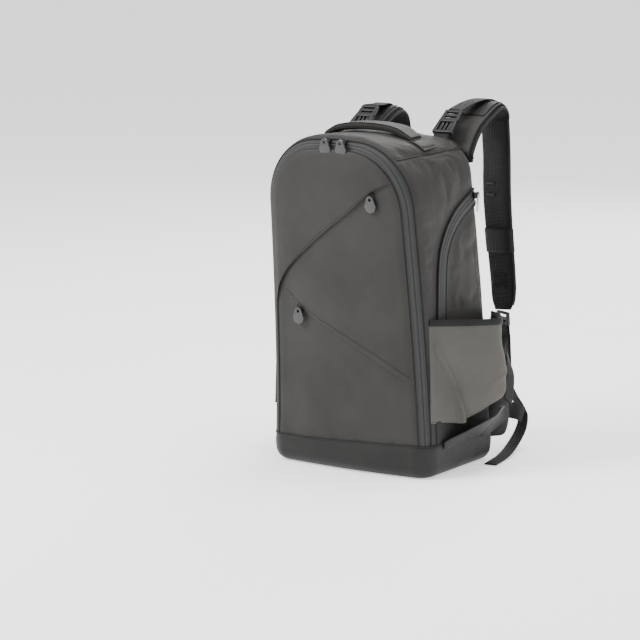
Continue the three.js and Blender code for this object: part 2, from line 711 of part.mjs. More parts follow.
// Shares of its reach, of the drop from the bend to its end, and of its splay.
const STRAP_DOWN = [
  { back: 1.02, down: 0.07, splay: 0.1, turn: 0.9, wide: 1 },
  { back: 1.07, down: 0.24, splay: 0.14, turn: 1, wide: 1 },
  { back: 1.07, down: 0.42, splay: 0.2, turn: 1, wide: 1 },
  { back: 1.07, down: 0.62, splay: 0.42, turn: 1, wide: 0.97 },
  { back: 1.07, down: 0.86, splay: 0.8, turn: 1, wide: 0.9 },
  { back: 1.05, down: 0.95, splay: 0.92, turn: 1, wide: 0.8 },
  { back: 1.03, down: 1, splay: 0.97, turn: 1, wide: 0.52 },
];
const strapRootZ = BAG_HEIGHT - STRAP_ROOT_DROP;
const strapRootY = backY(strapRootZ) + GAP + STRAP_THICK / 2;
function turned(side, share) {
  const angle = radians(STRAP_TURN * share);
  return point(Math.cos(angle), -side * Math.sin(angle), 0);
}
function strapStops({ side, reach, bendZ }, grow) {
  const strapFar = backY(BAG_HEIGHT) + reach;
  const x = (splay) => side * (STRAP_OUT + STRAP_SPLAY * splay);
  const stop = (middle, turn, wide) => ({
    middle,
    across: turned(side, turn),
    width: STRAP_WIDTH * wide + 2 * grow,
    thick: STRAP_THICK + 2 * grow,
  });
  const root = strapRootZ - STRAP_THICK;
  const stops = [
    stop(point(x(0), backY(root) + GAP + STRAP_THICK / 2, root), 0, 1),
    stop(point(x(0), strapRootY, strapRootZ), 0, 1),
  ];
  STRAP_OVER.slice(1).forEach(({ back, up, splay, turn }) => {
    const z = blend(strapRootZ, bendZ, up);
    stops.push(stop(point(x(splay), blend(strapRootY, strapFar, back), z), turn, 1));
  });
  STRAP_DOWN.forEach(({ back, down, splay, turn, wide }) => {
    const far = blend(strapFar, backY(BAG_HEIGHT) + STRAP_END_REACH, down);
    const z = blend(bendZ, STRAP_END, down);
    stops.push(stop(point(x(splay), blend(strapRootY, far, back), z), turn, wide));
  });
  return stops;
}

// A ladder of plastic bars on X and Z, standing on its lower edge at the origin.
function ladderShape(width, length, slots) {
  const shape = new THREE.Shape();
  shape.moveTo(-width / 2, 0);
  shape.lineTo(width / 2, 0);
  shape.lineTo(width / 2 - LADDER_BAR / 2, length);
  shape.lineTo(-width / 2 + LADDER_BAR / 2, length);
  const slotHigh = (length - LADDER_BAR * (slots + 1)) / slots;
  for (let i = 0; i < slots; i++) {
    const low = LADDER_BAR + i * (slotHigh + LADDER_BAR);
    const half = width / 2 - LADDER_BAR - LADDER_BAR / 2;
    shape.holes.push(
      new THREE.Path([
        new THREE.Vector2(-half, low),
        new THREE.Vector2(-half, low + slotHigh),
        new THREE.Vector2(half, low + slotHigh),
        new THREE.Vector2(half, low),
      ]),
    );
  }
  return shape;
}
function plasticPlate(shape, thick, tilt, turn, at) {
  const plate = new THREE.ExtrudeGeometry(shape, { depth: thick, bevelEnabled: false });
  plate.rotateX(Math.PI / 2).translate(0, thick / 2, 0);
  plate.rotateX(radians(tilt)).rotateZ(radians(turn)).translate(at.x, at.y, at.z);
  return solid(plate);
}

// The lifter's webbing from its frame over the shoulder patch to the bend of the strap: how far over
// and back it is, and how many strap thicknesses it stands above the middle of the bend.
const LIFTER_ROWS = [
  { along: 0, back: 0, lift: 0 },
  { along: 0.4, back: 0.4, lift: 0.72 },
  { along: 0.75, back: 0.75, lift: 0.72 },
  { along: 1, back: 0.96, lift: 0.32 },
];
// The webbing from the fin's tip up to the adjuster: how far along, how far it swings out and turns.
const LOWER_ROWS = [
  { along: 0, out: 0, turn: 3.6 },
  { along: 0.22, out: 0.25, turn: 3.6 },
  { along: 0.45, out: 0.4, turn: 3.4 },
  { along: 0.72, out: 0.3, turn: 2.4 },
  { along: 1, out: 0, turn: 1 },
];
// The loose end, from the adjuster down and forward beside the bag to a tip just over the floor.
const TAIL_ROWS = [
  { out: 0, forward: 0, down: 0, turn: 1 },
  { out: 0.06, forward: 0, down: 0.16, turn: 1 },
  { out: 0.12, forward: 0.02, down: 0.34, turn: 1 },
  { out: 0.16, forward: 0.01, down: 0.52, turn: 1 },
  { out: 0.28, forward: -0.02, down: 0.62, turn: 1 },
  { out: 0.44, forward: -0.03, down: 0.7, turn: 0.8 },
  { out: 0.55, forward: -0.02, down: 0.77, turn: 0.7 },
  { out: 0.62, forward: 0.08, down: 0.86, turn: 0.5 },
  { out: 0.73, forward: 0.35, down: 0.95, turn: 0.2 },
  { out: 0.86, forward: 0.63, down: 0.99, turn: 0 },
  { out: 1, forward: 1, down: 1, turn: 0 },
];
// The wing from the back pad out round the back edge: shares of its reach, its swing back and its height.
const WING_ROWS = [
  { out: 0, back: 0, high: 0.8 },
  { out: 0.1, back: 0, high: 0.95 },
  { out: 0.5, back: 0.06, high: 1 },
  { out: 0.82, back: 0.35, high: 1 },
  { out: 1, back: 0.75, high: 0.98 },
  { out: 0.99, back: 0.95, high: 0.82 },
];
// The hip webbing, folded back on itself: shares of the webbing's width.
const FOLD_ROWS = [
  { out: 0, back: 0, down: 0, turn: 0 },
  { out: 0.1, back: 0.4, down: 0.05, turn: 0 },
  { out: 0.4, back: 0.8, down: 0.2, turn: 20 },
  { out: 0.5, back: 1.2, down: 0.45, turn: 40 },
];

SIDES.forEach((strapSide) => {
  const { side, name, reach, bendZ } = strapSide;
  add("side_fin_" + name, fin(side), BOOT_FABRIC);

  const strap = band(PADDED_SECTION, strapStops(strapSide, 0)).subtract(clearOfSack);
  add("shoulder_strap_" + name, strap, BLACK_CLOTH);
  const around = band(PADDED_SECTION, strapStops(strapSide, GAP + COVER_WALL));
  const clearOfStrap = band(PADDED_SECTION, strapStops(strapSide, GAP));
  const sleeve = around.subtract(clearOfStrap);
  add("strap_keeper_" + name, sleeve.intersect(above(KEEPER_LOW)).intersect(below(KEEPER_HIGH)), BLACK_CLOTH);
  const strapFar = backY(BAG_HEIGHT) + reach;
  const patchX = side * STRAP_OUT;
  const patchEnd = strapFar - STRAP_THICK;
  const patchRoom = block(
    patchX - SHOULDER_PATCH_WIDTH / 2,
    patchX + SHOULDER_PATCH_WIDTH / 2,
    patchEnd - SHOULDER_PATCH_LENGTH,
    patchEnd,
    (BAG_HEIGHT + bendZ) / 2,
    FAR,
  );
  const underStrap = clearOfStrap.translate([0, 0, -2 * COVER_WALL]);
  add("shoulder_patch_" + name, sleeve.intersect(patchRoom).subtract(underStrap), BOOT_FABRIC);

  // The load lifter: a webbing tab on the top back edge, a side-release buckle, a frame and a strap.
  const tabZ = topZ(LIFTER_OUT, 1);
  const tabY = backY(tabZ) - BACK_EDGE_RADIUS / 2;
  const frameZ = BAG_HEIGHT + LIFTER_RISE;
  const slope = { y: BUCKLE_LENGTH + LADDER_LENGTH, z: frameZ - tabZ };
  const climb = Math.hypot(slope.y, slope.z);
  const onSlope = (length) =>
    point(side * LIFTER_OUT, tabY + (slope.y * length) / climb, tabZ + (slope.z * length) / climb);
  const slopeTilt = -THREE.MathUtils.radToDeg(Math.atan2(slope.y, slope.z));
  const tabStops = [-WEBBING / 2, 0, WEBBING / 4].map((length) => ({
    middle: onSlope(length),
    across: point(1, 0, 0),
    width: WEBBING,
    thick: WEBBING_THICK,
  }));
  add("lifter_anchor_" + name, band(FLAT_SECTION, tabStops).subtract(clearOfSack), BLACK_CLOTH);
  const buckleFoot = WEBBING / 4 + GAP;
  const buckle = ladderShape(BUCKLE_WIDTH, BUCKLE_LENGTH, 1);
  add(
    "lifter_buckle_" + name,
    plasticPlate(buckle, BUCKLE_THICK, slopeTilt, 0, onSlope(buckleFoot)),
    BLACK_PLASTIC,
  );
  const frameFoot = buckleFoot + BUCKLE_LENGTH + GAP;
  add(
    "lifter_ladder_" + name,
    plasticPlate(ladderShape(LADDER_WIDTH, LADDER_LENGTH, 2), LADDER_THICK, slopeTilt, 0, onSlope(frameFoot)),
    BLACK_PLASTIC,
  );
  const frameTop = onSlope(frameFoot + LADDER_LENGTH + WEBBING_THICK);
  const lifterStops = LIFTER_ROWS.map(({ along, back, lift }) => ({
    middle: point(
      side * blend(LIFTER_OUT, STRAP_OUT, along),
      blend(frameTop.y, strapFar, back),
      blend(frameTop.z, bendZ + lift * STRAP_THICK, Math.min(1, 2 * along)),
    ),
    across: point(1, 0, 0),
    width: WEBBING,
    thick: WEBBING_THICK,
  }));
  add("lifter_webbing_" + name, band(FLAT_SECTION, lifterStops), BLACK_CLOTH);

  // The adjuster at the lower end, the webbing down to the fin and its loose end.
  const last = strapStops(strapSide, 0).at(-1).middle;
  const lockTop = point(last.x, last.y, STRAP_END - STRAP_THICK / 5);
  const lockFoot = lockTop.clone().add(point(0, 0, -LADDER_LENGTH));
  add(
    "strap_ladder_lock_" + name,
    plasticPlate(ladderShape(LADDER_WIDTH, LADDER_LENGTH, 2), LADDER_THICK, 0, -side * STRAP_TURN, lockFoot),
    BLACK_PLASTIC,
  );
  const tip = finTip(side).add(point(side * (FIN_WALL + GAP), 0, 0));
  const lowerEnd = lockFoot.clone().add(point(0, 0, -2 * GAP));
  const lowerBend = lowerEnd.clone().add(point(0, 0, -NARROW_WEBBING));
  const lowerStops = LOWER_ROWS.map(({ along, out, turn }) => ({
    middle: tip
      .clone()
      .lerp(lowerBend, along)
      .add(point(side * out * NARROW_WEBBING, 0, 0)),
    across: turned(side, turn),
    width: NARROW_WEBBING,
    thick: WEBBING_THICK,
  }));
  lowerStops.push({ ...lowerStops.at(-1), middle: lowerEnd });
  add("lower_webbing_" + name, band(FLAT_SECTION, lowerStops), BLACK_CLOTH);
  const tailTop = lockFoot.clone().add(point(0, LADDER_THICK / 2 + WEBBING_THICK, LADDER_LENGTH / 2));
  const tailEnd = point(side * (BAG_WIDTH / 2 + TAIL_OUT), TAIL_FORWARD, WEBBING_THICK / 2 + TAIL_CLEAR);
  const tailStops = TAIL_ROWS.map(({ out, forward, down, turn }) => ({
    middle: point(
      blend(tailTop.x, tailEnd.x, out),
      blend(tailTop.y, tailEnd.y, forward),
      blend(tailTop.z, tailEnd.z, down),
    ),
    across: turned(side, turn),
    width: NARROW_WEBBING,
    thick: WEBBING_THICK,
  }));
  add("webbing_tail_" + name, band(FLAT_SECTION, tailStops), BLACK_CLOTH);

  // The hip wing and the webbing folded back at its end.
  const wingZ = WING_LOW + WING_HIGH / 2;
  const wingBase = BAG_DEPTH / 2 + WING_THICK / 2 + GAP;
  const wingStart = BACK_PAD_WIDTH / 2 + 2 * GAP;
  const wingEnd = BAG_WIDTH / 2 - WING_INSET;
  const wingStops = WING_ROWS.map(({ out, back, high }) => ({
    middle: point(side * blend(wingStart, wingEnd, out), wingBase + back * WING_BACK, wingZ),
    across: point(0, 0, 1),
    width: WING_HIGH * high,
    thick: WING_THICK,
  }));
  add("hip_wing_" + name, band(PADDED_SECTION, wingStops).subtract(clearOfSack), BOOT_FABRIC);
  const wingTip = wingStops.at(-1).middle;
  const foldStops = FOLD_ROWS.map(({ out, back, down, turn }) => ({
    middle: point(
      wingTip.x + side * out * WEBBING,
      wingTip.y + WEBBING_THICK + back * WEBBING,
      wingTip.z - HIP_WEBBING_DROP - down * WEBBING,
    ),
    across: point(0, Math.sin(radians(turn)), Math.cos(radians(turn))),
    width: WEBBING,
    thick: WEBBING_THICK,
  }));
  add("hip_webbing_" + name, band(FLAT_SECTION, foldStops), BLACK_CLOTH);
});

// The top handle: a padded grip whose flat ends are sewn down under square patches.
const HANDLE_ROWS = [
  { across: -1, up: 0, thick: 0.34, wide: 0.9 },
  { across: -0.9, up: 0.1, thick: 0.6, wide: 0.95 },
  { across: -0.66, up: 0.7, thick: 0.95, wide: 1 },
  { across: -0.32, up: 0.95, thick: 1, wide: 1 },
  { across: 0, up: 1, thick: 1, wide: 1 },
  { across: 0.32, up: 0.95, thick: 1, wide: 1 },
  { across: 0.66, up: 0.7, thick: 0.95, wide: 1 },
  { across: 0.9, up: 0.1, thick: 0.6, wide: 0.95 },
  { across: 1, up: 0, thick: 0.34, wide: 0.9 },
];
const handleY = (z) => (HANDLE_DEPTH_SHARE - 0.5) * BAG_DEPTH + lean(z);
const onTop = (x, lift) => {
  const z = topZ(x, HANDLE_DEPTH_SHARE);
  return point(x, handleY(z), z + lift);
};
const handleStops = HANDLE_ROWS.map(({ across, up, thick, wide }) => ({
  middle: onTop((across * HANDLE_SPAN) / 2, up * (HANDLE_CLEAR + GAP) + (thick * HANDLE_THICK) / 2 + GAP),
  across: point(0, 1, 0),
  width: HANDLE_WIDTH * wide,
  thick: HANDLE_THICK * thick,
}));
add("top_handle", band(PADDED_SECTION, handleStops).subtract(clearOfSack), FABRIC);
SIDES.forEach(({ side, name }) => {
  const patchStops = [0, 0.5, 1].map((share) => ({
    middle: onTop(side * (HANDLE_SPAN / 2 + 2 * GAP + share * PATCH_LENGTH), PATCH_WALL / 2 + GAP),
    across: point(0, 1, 0),
    width: HANDLE_WIDTH,
    thick: PATCH_WALL,
  }));
  add("handle_patch_" + name, band(FLAT_SECTION, patchStops).subtract(clearOfSack), FABRIC);
});

// The back pad, a padded board down the middle of the back.
const padSteps = 5;
const padStops = [];
for (let i = 0; i <= padSteps; i++) {
  const z = blend(BACK_PAD_LOW, BAG_HEIGHT - BACK_PAD_DROP, i / padSteps);
  padStops.push({
    middle: point(0, backY(z) + GAP + BACK_PAD_THICK / 2, z),
    across: point(1, 0, 0),
    width: BACK_PAD_WIDTH,
    thick: BACK_PAD_THICK,
  });
}
add("back_pad", band(PADDED_SECTION, padStops).subtract(clearOfSack), BLACK_CLOTH);

// The compression strap across the left side, with its fastened buckle.
const sideStrapZ = BAG_HEIGHT - SIDE_STRAP_DROP;
const sideStrapX = halfWidth(sideStrapZ) + WEBBING_THICK / 2 + GAP;
const sideStrapStops = [-0.5, -0.25, 0, 0.25, 0.5].map((share) => ({
  middle: point(-sideStrapX, lean(sideStrapZ) + share * SIDE_STRAP_LENGTH, sideStrapZ),
  across: point(0, 0, 1),
  width: WEBBING,
  thick: WEBBING_THICK,
}));
add("left_side_strap", band(FLAT_SECTION, sideStrapStops).subtract(clearOfSack), BLACK_CLOTH);
const sideBuckle = new THREE.BoxGeometry(BUCKLE_THICK, 1.5 * BUCKLE_LENGTH, BUCKLE_WIDTH);
sideBuckle.translate(
  -sideStrapX - WEBBING_THICK / 2 - GAP - BUCKLE_THICK / 2,
  lean(sideStrapZ),
  sideStrapZ,
);
add("left_side_buckle", solid(sideBuckle).subtract(clearOfSack), BLACK_PLASTIC);

export default group;
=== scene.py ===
import math

import bmesh
import bpy
from mathutils import Matrix, Vector, noise


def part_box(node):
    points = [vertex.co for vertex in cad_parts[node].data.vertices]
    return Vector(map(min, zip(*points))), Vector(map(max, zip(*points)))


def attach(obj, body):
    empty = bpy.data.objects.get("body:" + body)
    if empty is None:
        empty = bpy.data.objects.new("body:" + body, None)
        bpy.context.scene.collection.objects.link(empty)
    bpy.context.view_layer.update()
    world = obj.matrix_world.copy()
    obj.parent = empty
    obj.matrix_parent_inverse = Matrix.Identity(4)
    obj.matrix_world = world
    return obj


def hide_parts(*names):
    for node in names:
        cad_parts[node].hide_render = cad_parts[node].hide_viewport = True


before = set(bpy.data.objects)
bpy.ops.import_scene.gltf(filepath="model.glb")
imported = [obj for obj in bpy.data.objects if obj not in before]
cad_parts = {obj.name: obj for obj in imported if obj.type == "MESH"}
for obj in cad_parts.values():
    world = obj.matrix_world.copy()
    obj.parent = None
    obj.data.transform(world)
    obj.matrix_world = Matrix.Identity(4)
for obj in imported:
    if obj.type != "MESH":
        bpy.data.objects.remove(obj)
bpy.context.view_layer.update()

# The room: a broad, faintly glowing pale floor under a white sky.
# The photograph's camera stands low, off the bag's right front corner, with a long lens.
AIM = Vector((0.0, 0.005, 0.25))
AZIMUTH, ELEVATION, DISTANCE = 33.0, 9.5, 3.9
azimuth, elevation = math.radians(AZIMUTH), math.radians(ELEVATION)
back_to_camera = Vector(
    (
        math.sin(azimuth) * math.cos(elevation),
        -math.cos(azimuth) * math.cos(elevation),
        math.sin(elevation),
    )
)
lens = bpy.data.cameras.new("camera")
lens.sensor_width = 36.0
lens.lens = 147.4
lens.clip_end = 200.0
lens.shift_x = -0.1
lens.shift_y = -0.0414
camera = bpy.data.objects.new("camera", lens)
camera.location = AIM + back_to_camera * DISTANCE
camera.rotation_euler = (-back_to_camera).to_track_quat("-Z", "Y").to_euler()
bpy.context.scene.collection.objects.link(camera)
bpy.context.scene.camera = camera


def lamp(name, place, aim, size, watts, tint=(1.0, 1.0, 1.0)):
    light = bpy.data.lights.new(name, "AREA")
    light.shape = "DISK"
    light.size = size
    light.energy = watts
    light.color = tint
    holder = bpy.data.objects.new(name, light)
    holder.location = place
    holder.rotation_euler = (Vector(aim) - Vector(place)).to_track_quat("-Z", "Y").to_euler()
    bpy.context.scene.collection.objects.link(holder)


lamp("key_light", (-1.6, -2.2, 2.4), (0.0, 0.0, 0.3), 1.6, 160.0, (1.0, 0.99, 0.97))
lamp("side_light", (2.6, -0.4, 1.5), (0.0, 0.0, 0.25), 1.4, 20.0)
lamp("top_light", (0.3, 0.4, 2.6), (0.0, 0.0, 0.4), 1.5, 45.0)
lamp("back_light", (-0.6, 2.6, 1.6), (0.0, 0.0, 0.35), 1.4, 40.0)
world = bpy.data.worlds.new("room")
world.use_nodes = True
world.node_tree.nodes["Background"].inputs["Color"].default_value = (1.0, 1.0, 1.0, 1.0)
world.node_tree.nodes["Background"].inputs["Strength"].default_value = 0.95
bpy.context.scene.world = world


class Number:
    """A value that changes over a surface: sums and products of it add their Math nodes."""

    def __init__(self, finish, socket):
        self.finish = finish
        self.socket = socket

    def _math(self, operation, first, second):
        return self.finish.node("ShaderNodeMath", {"operation": operation}, [first, second])

    def __add__(self, other):
        return self._math("ADD", self, other)

    __radd__ = __add__

    def __sub__(self, other):
        return self._math("SUBTRACT", self, other)

    def __mul__(self, other):
        return self._math("MULTIPLY", self, other)

    __rmul__ = __mul__

    def sine(self):
        return self._math("SINE", self, 0.0)

    def over(self, low, high):
        """0 below low, 1 above high and a smooth step between them."""
        return self.finish.node(
            "ShaderNodeMapRange",
            {"interpolation_type": "SMOOTHSTEP"},
            {"Value": self, "From Min": low, "From Max": high},
        )


class Finish:
    """A material while its nodes are laid out. Constants sit on the shader's own sockets."""

    def __init__(self, name, constants):
        self.material = bpy.data.materials.new(name)
        self.material.use_nodes = True
        self.nodes = self.material.node_tree.nodes
        self.shader = self.nodes["Principled BSDF"]
        for socket, value in constants.items():
            self.shader.inputs[socket].default_value = value

    def node(self, kind, settings=None, values=(), output=0):
        made = self.nodes.new(kind)
        for name, value in (settings or {}).items():
            setattr(made, name, value)
        pairs = values.items() if isinstance(values, dict) else enumerate(values)
        for key, value in pairs:
            self.put(made.inputs[key], value)
        return Number(self, made.outputs[output])

    def put(self, socket, value):
        if isinstance(value, Number):
            self.material.node_tree.links.new(value.socket, socket)
        else:
            socket.default_value = value

    def where(self):
        return self.node("ShaderNodeTexCoord", output=3)

    def along(self):
        return self.node("ShaderNodeTexCoord", output=2)

    def axes(self, vector):
        parts = self.node("ShaderNodeSeparateXYZ", None, [vector])
        node = parts.socket.node
        return [Number(self, node.outputs[i]) for i in range(3)]

    def noise(self, vector, scale, detail=2.0, roughness=0.5):
        values = {"Vector": vector, "Scale": scale, "Detail": detail, "Roughness": roughness}
        return self.node("ShaderNodeTexNoise", None, values)

    def tint(self, share, low, high):
        return self.node(
            "ShaderNodeMix",
            {"data_type": "RGBA"},
            {0: share, 6: (*low, 1.0), 7: (*high, 1.0)},
            output=2,
        )

    def colour(self, value):
        self.put(self.shader.inputs["Base Color"], value)

    def rough(self, value):
        self.put(self.shader.inputs["Roughness"], value)

    def relief(self, height, distance, strength=1.0):
        values = {"Strength": strength, "Distance": distance, "Height": height}
        bump = self.node("ShaderNodeBump", None, values)
        self.put(self.shader.inputs["Normal"], bump)


floor_finish = Finish(
    "pale_floor", {"Roughness": 0.9, "Emission Color": (1.0, 1.0, 1.0, 1.0), "Emission Strength": 0.7}
)
floor_finish.colour(
    floor_finish.tint(
        floor_finish.noise(floor_finish.where(), 3.0),
        (0.9, 0.9, 0.9),
        (0.93, 0.93, 0.93),
    )
)
bm = bmesh.new()
bmesh.ops.create_grid(bm, x_segments=1, y_segments=1, size=60.0)
floor_mesh = bpy.data.meshes.new("floor")
bm.to_mesh(floor_mesh)
bm.free()
floor_mesh.materials.append(floor_finish.material)
floor = bpy.data.objects.new("floor", floor_mesh)
bpy.context.scene.collection.objects.link(floor)

# The sack's form. It repeats the frame's: a tapered, leaning body with a big arch at the front
# and a smaller one behind. Lengths are in millimetres until a mesh is made.
MM = 0.001
BAG_WIDTH, BAG_DEPTH, BAG_HEIGHT = 280.0, 192.0, 494.0
BASE_HEIGHT = 45.0
TUCKED = 37.0  # the cloth above the boot runs down to here inside it
SIDE_TAPER, LEAN = 16.0, 42.0
FRONT_SWELL, TOP_CROWN, BACK_DROP = 6.0, 7.0, 9.0
FRONT_RADIUS, BACK_RADIUS = 31.0, 24.0
ARCH_WIDE, ARCH_HIGH, BACK_CORNER = 98.0, 108.0, 50.0
SIDE_SHARE, CROWN_SHARE = 0.42, 0.12


def between(low, high, share):
    return low + (high - low) * share


def limit(value, low=0.0, high=1.0):
    return min(max(value, low), high)


def ease(value, low, high):
    share = limit((value - low) / (high - low))
    return share * share * (3.0 - 2.0 * share)


def hump(value, middle, width):
    return math.exp(-(((value - middle) / width) ** 2))


def rise(z):
    return max(0.0, z - BASE_HEIGHT) / (BAG_HEIGHT - BASE_HEIGHT)


def lean(z):
    return -LEAN * rise(z) ** 1.5


def half_width(z):
    return BAG_WIDTH / 2 - SIDE_TAPER * rise(z)


def arch(inset, depth_share):
    top = BAG_HEIGHT - BACK_DROP * depth_share - inset
    wide = max(between(ARCH_WIDE, BACK_CORNER, depth_share) - inset, 3.0)
    high = max(between(ARCH_HIGH, BACK_CORNER, depth_share) - inset, 3.0)
    shoulder = top - high
    flat = half_width(shoulder) - inset - wide
    return top, wide, high, shoulder, flat, TOP_CROWN * flat / half_width(shoulder)


def outline(u, inset, depth_share, bottom=TUCKED):
    """The sack's outline at one depth: u is -1 at the bottom left, 0 at the top and 1 at the bottom right."""
    top, wide, high, shoulder, flat, crown = arch(inset, depth_share)
    out = abs(u)
    if out >= SIDE_SHARE:
        z = between(shoulder, bottom, (out - SIDE_SHARE) / (1.0 - SIDE_SHARE))
        x = half_width(z) - inset
    elif out >= CROWN_SHARE:
        angle = (out - CROWN_SHARE) / (SIDE_SHARE - CROWN_SHARE) * math.pi / 2
        x = flat + wide * math.sin(angle)
        z = shoulder + high * math.cos(angle)
    else:
        x = flat * out / CROWN_SHARE
        z = top + crown * (1.0 - (out / CROWN_SHARE) ** 2)
    return math.copysign(x, u), z


def skin(u, inset, y, bottom=TUCKED):
    depth_share = limit(y / BAG_DEPTH + 0.5)
    x, z = outline(u, inset, depth_share, bottom)
    return Vector((x, y + lean(z), z))


def front_edge(angle, lift=0.0):
    """Inset and depth on the rounded front edge: 0 degrees faces forward and 90 faces out."""
    radius = FRONT_RADIUS + lift
    turn = math.radians(angle)
    return FRONT_RADIUS - radius * math.sin(turn), -BAG_DEPTH / 2 + FRONT_RADIUS - radius * math.cos(turn)


def back_edge(angle, lift=0.0):
    radius = BACK_RADIUS + lift
    turn = math.radians(angle)
    return BACK_RADIUS - radius * math.sin(turn), BAG_DEPTH / 2 - BACK_RADIUS + radius * math.cos(turn)


def front_face(inset, lift=0.0):
    share = (BAG_WIDTH / 2 - inset) / (BAG_WIDTH / 2 - FRONT_RADIUS)
    return inset, -BAG_DEPTH / 2 - FRONT_SWELL * (1.0 - min(share, 1.0) ** 2) - lift


def top_height(x, depth_share):
    top, wide, high, shoulder, flat, crown = arch(0.0, depth_share)
    across = abs(x)
    if across <= flat:
        return top + crown * (1.0 - (across / flat) ** 2)
    return shoulder + high * math.sqrt(max(0.0, 1.0 - ((across - flat) / wide) ** 2))


def smooth_line(rows, share):
    """A value or tuple of values on a smooth line through rows, each [place, value, ...]."""
    for i in range(len(rows) - 1):
        if share <= rows[i + 1][0] or i == len(rows) - 2:
            low, high = rows[i], rows[i + 1]
            gap = (high[0] - low[0]) or 1.0
            part = limit((share - low[0]) / gap)
            before = rows[i - 1] if i else low
            after = rows[i + 2] if i + 2 < len(rows) else high
            found = []
            for a, b, c, d in zip(before[1:], low[1:], high[1:], after[1:]):
                start = (c - a) / ((high[0] - before[0]) or gap) * gap
                end = (d - b) / ((after[0] - low[0]) or gap) * gap
                p2, p3 = part * part, part ** 3
                found.append(
                    b * (2 * p3 - 3 * p2 + 1)
                    + start * (p3 - 2 * p2 + part)
                    + c * (3 * p2 - 2 * p3)
                    + end * (p3 - p2)
                )
            return found
    return list(rows[-1][1:])


def cloth_sheet(across, along, where, width=1.0, length=1.0):
    """A grid whose corners are put where(s, t) says; its UV map runs over its width and length."""
    bm = bmesh.new()
    bmesh.ops.create_grid(bm, x_segments=across, y_segments=along, size=0.5, calc_uvs=True)
    uv = bm.loops.layers.uv.verify()
    for face in bm.faces:
        for loop in face.loops:
            loop[uv].uv = ((loop.vert.co.x + 0.5) * width, (loop.vert.co.y + 0.5) * length)
    for vert in bm.verts:
        vert.co = where(limit(vert.co.x + 0.5), limit(vert.co.y + 0.5)) * MM
    return bm


def swell_out(bm, amount):
    """Moves each corner along its normal by amount(place), both in millimetres."""
    bm.normal_update()
    moves = [(vert, vert.normal * amount(vert.co / MM) * MM) for vert in bm.verts]
    for vert, move in moves:
        vert.co += move


def waves(place, size, seed=0.0):
    return noise.noise(Vector((place.x, place.y, place.z)) / size + Vector((seed, 0.0, seed)))


def mesh_piece(bm, name, finish, stands_for=(), smooth=True, recalculate=True):
    """Turns a bmesh into a finished piece that rides on the bag."""
    if recalculate:
        bmesh.ops.recalc_face_normals(bm, faces=bm.faces)
    mesh = bpy.data.meshes.new(name)
    bm.to_mesh(mesh)
    bm.free()
    mesh.materials.append(finish.material)
    if smooth:
        mesh.shade_smooth()
    piece = bpy.data.objects.new(name, mesh)
    bpy.context.scene.collection.objects.link(piece)
    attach(piece, "root")
    if stands_for:
        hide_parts(*stands_for)
    return piece


def bake_modifiers(piece):
    """Applies what stands on a piece, such as its thickness or its simulated cloth."""
    graph = bpy.context.evaluated_depsgraph_get()
    mesh = bpy.data.meshes.new_from_object(piece.evaluated_get(graph))
    old = piece.data
    piece.modifiers.clear()
    piece.data = mesh
    bpy.data.meshes.remove(old)
    mesh.name = piece.name


def thicken(piece, thickness, offset=-1.0):
    wall = piece.modifiers.new("wall", "SOLIDIFY")
    wall.thickness = thickness * MM
    wall.offset = offset
    bake_modifiers(piece)


def billow(piece, sewn, pressure, spare, cap, stiff=12.0):
    """The fabric swells between its seams as simulated cloth, with a little more cloth than the form."""
    scene = bpy.context.scene
    before = [vert.co.copy() for vert in piece.data.vertices]
    held = piece.vertex_groups.new(name="sewn")
    for i, co in enumerate(before):
        weight = sewn(co / MM)
        if weight > 0.0:
            held.add([i], weight, "REPLACE")
    cloth = piece.modifiers.new("cloth", "CLOTH")
    cloth.settings.quality = 5
    cloth.settings.mass = 0.3
    cloth.settings.tension_stiffness = stiff
    cloth.settings.compression_stiffness = stiff
    cloth.settings.shear_stiffness = stiff / 2
    cloth.settings.bending_stiffness = 0.6
    cloth.settings.use_pressure = True
    cloth.settings.uniform_pressure_force = pressure
    cloth.settings.vertex_group_mass = "sewn"
    cloth.settings.shrink_min = -spare
    cloth.settings.effector_weights.gravity = 0.0
    cloth.collision_settings.use_collision = False
    for step in range(1, 21):
        scene.frame_set(step)
    graph = bpy.context.evaluated_depsgraph_get()
    settled = piece.evaluated_get(graph).data
    after = [vert.co.copy() for vert in settled.vertices]
    piece.modifiers.clear()
    piece.vertex_groups.clear()
    scene.frame_set(1)
    for vert, start, end in zip(piece.data.vertices, before, after):
        move = end - start
        if move.length > cap * MM:
            move *= cap * MM / move.length
        vert.co = start + move


def bag_fabric(name, low, high, rough, sheen, weave=1.0, grain=1.0):
    """Coated polyester: a fine plain weave, cloudy in colour and in gloss, with fine flecks."""
    finish = Finish(
        name,
        {
            "Specular IOR Level": 0.26,
            "Sheen Weight": sheen,
            "Sheen Roughness": 0.45,
        },
    )
    where = finish.where()
    x, y, z = finish.axes(where)
    clouds = finish.noise(where, 9.0, 3.0, 0.55)
    flecks = finish.noise(where, 900.0, 2.0, 0.6)
    thread = 2 * math.pi / (1.1 * MM * weave)
    warp = ((x + y) * thread).sine()
    weft = (z * thread).sine()
    mask = (clouds * 0.7 + flecks * 0.3).over(0.36, 0.64)
    finish.colour(finish.tint(mask, low, high))
    finish.rough(finish.noise(where, 26.0, 2.0) * 0.16 + (rough - 0.08))
    creases = finish.noise(where, 55.0, 4.0, 0.6)
    finish.relief(
        warp * weft * 0.11 + flecks * 0.34 * grain + creases * 1.3,
        0.0009,
        0.42,
    )
    return finish


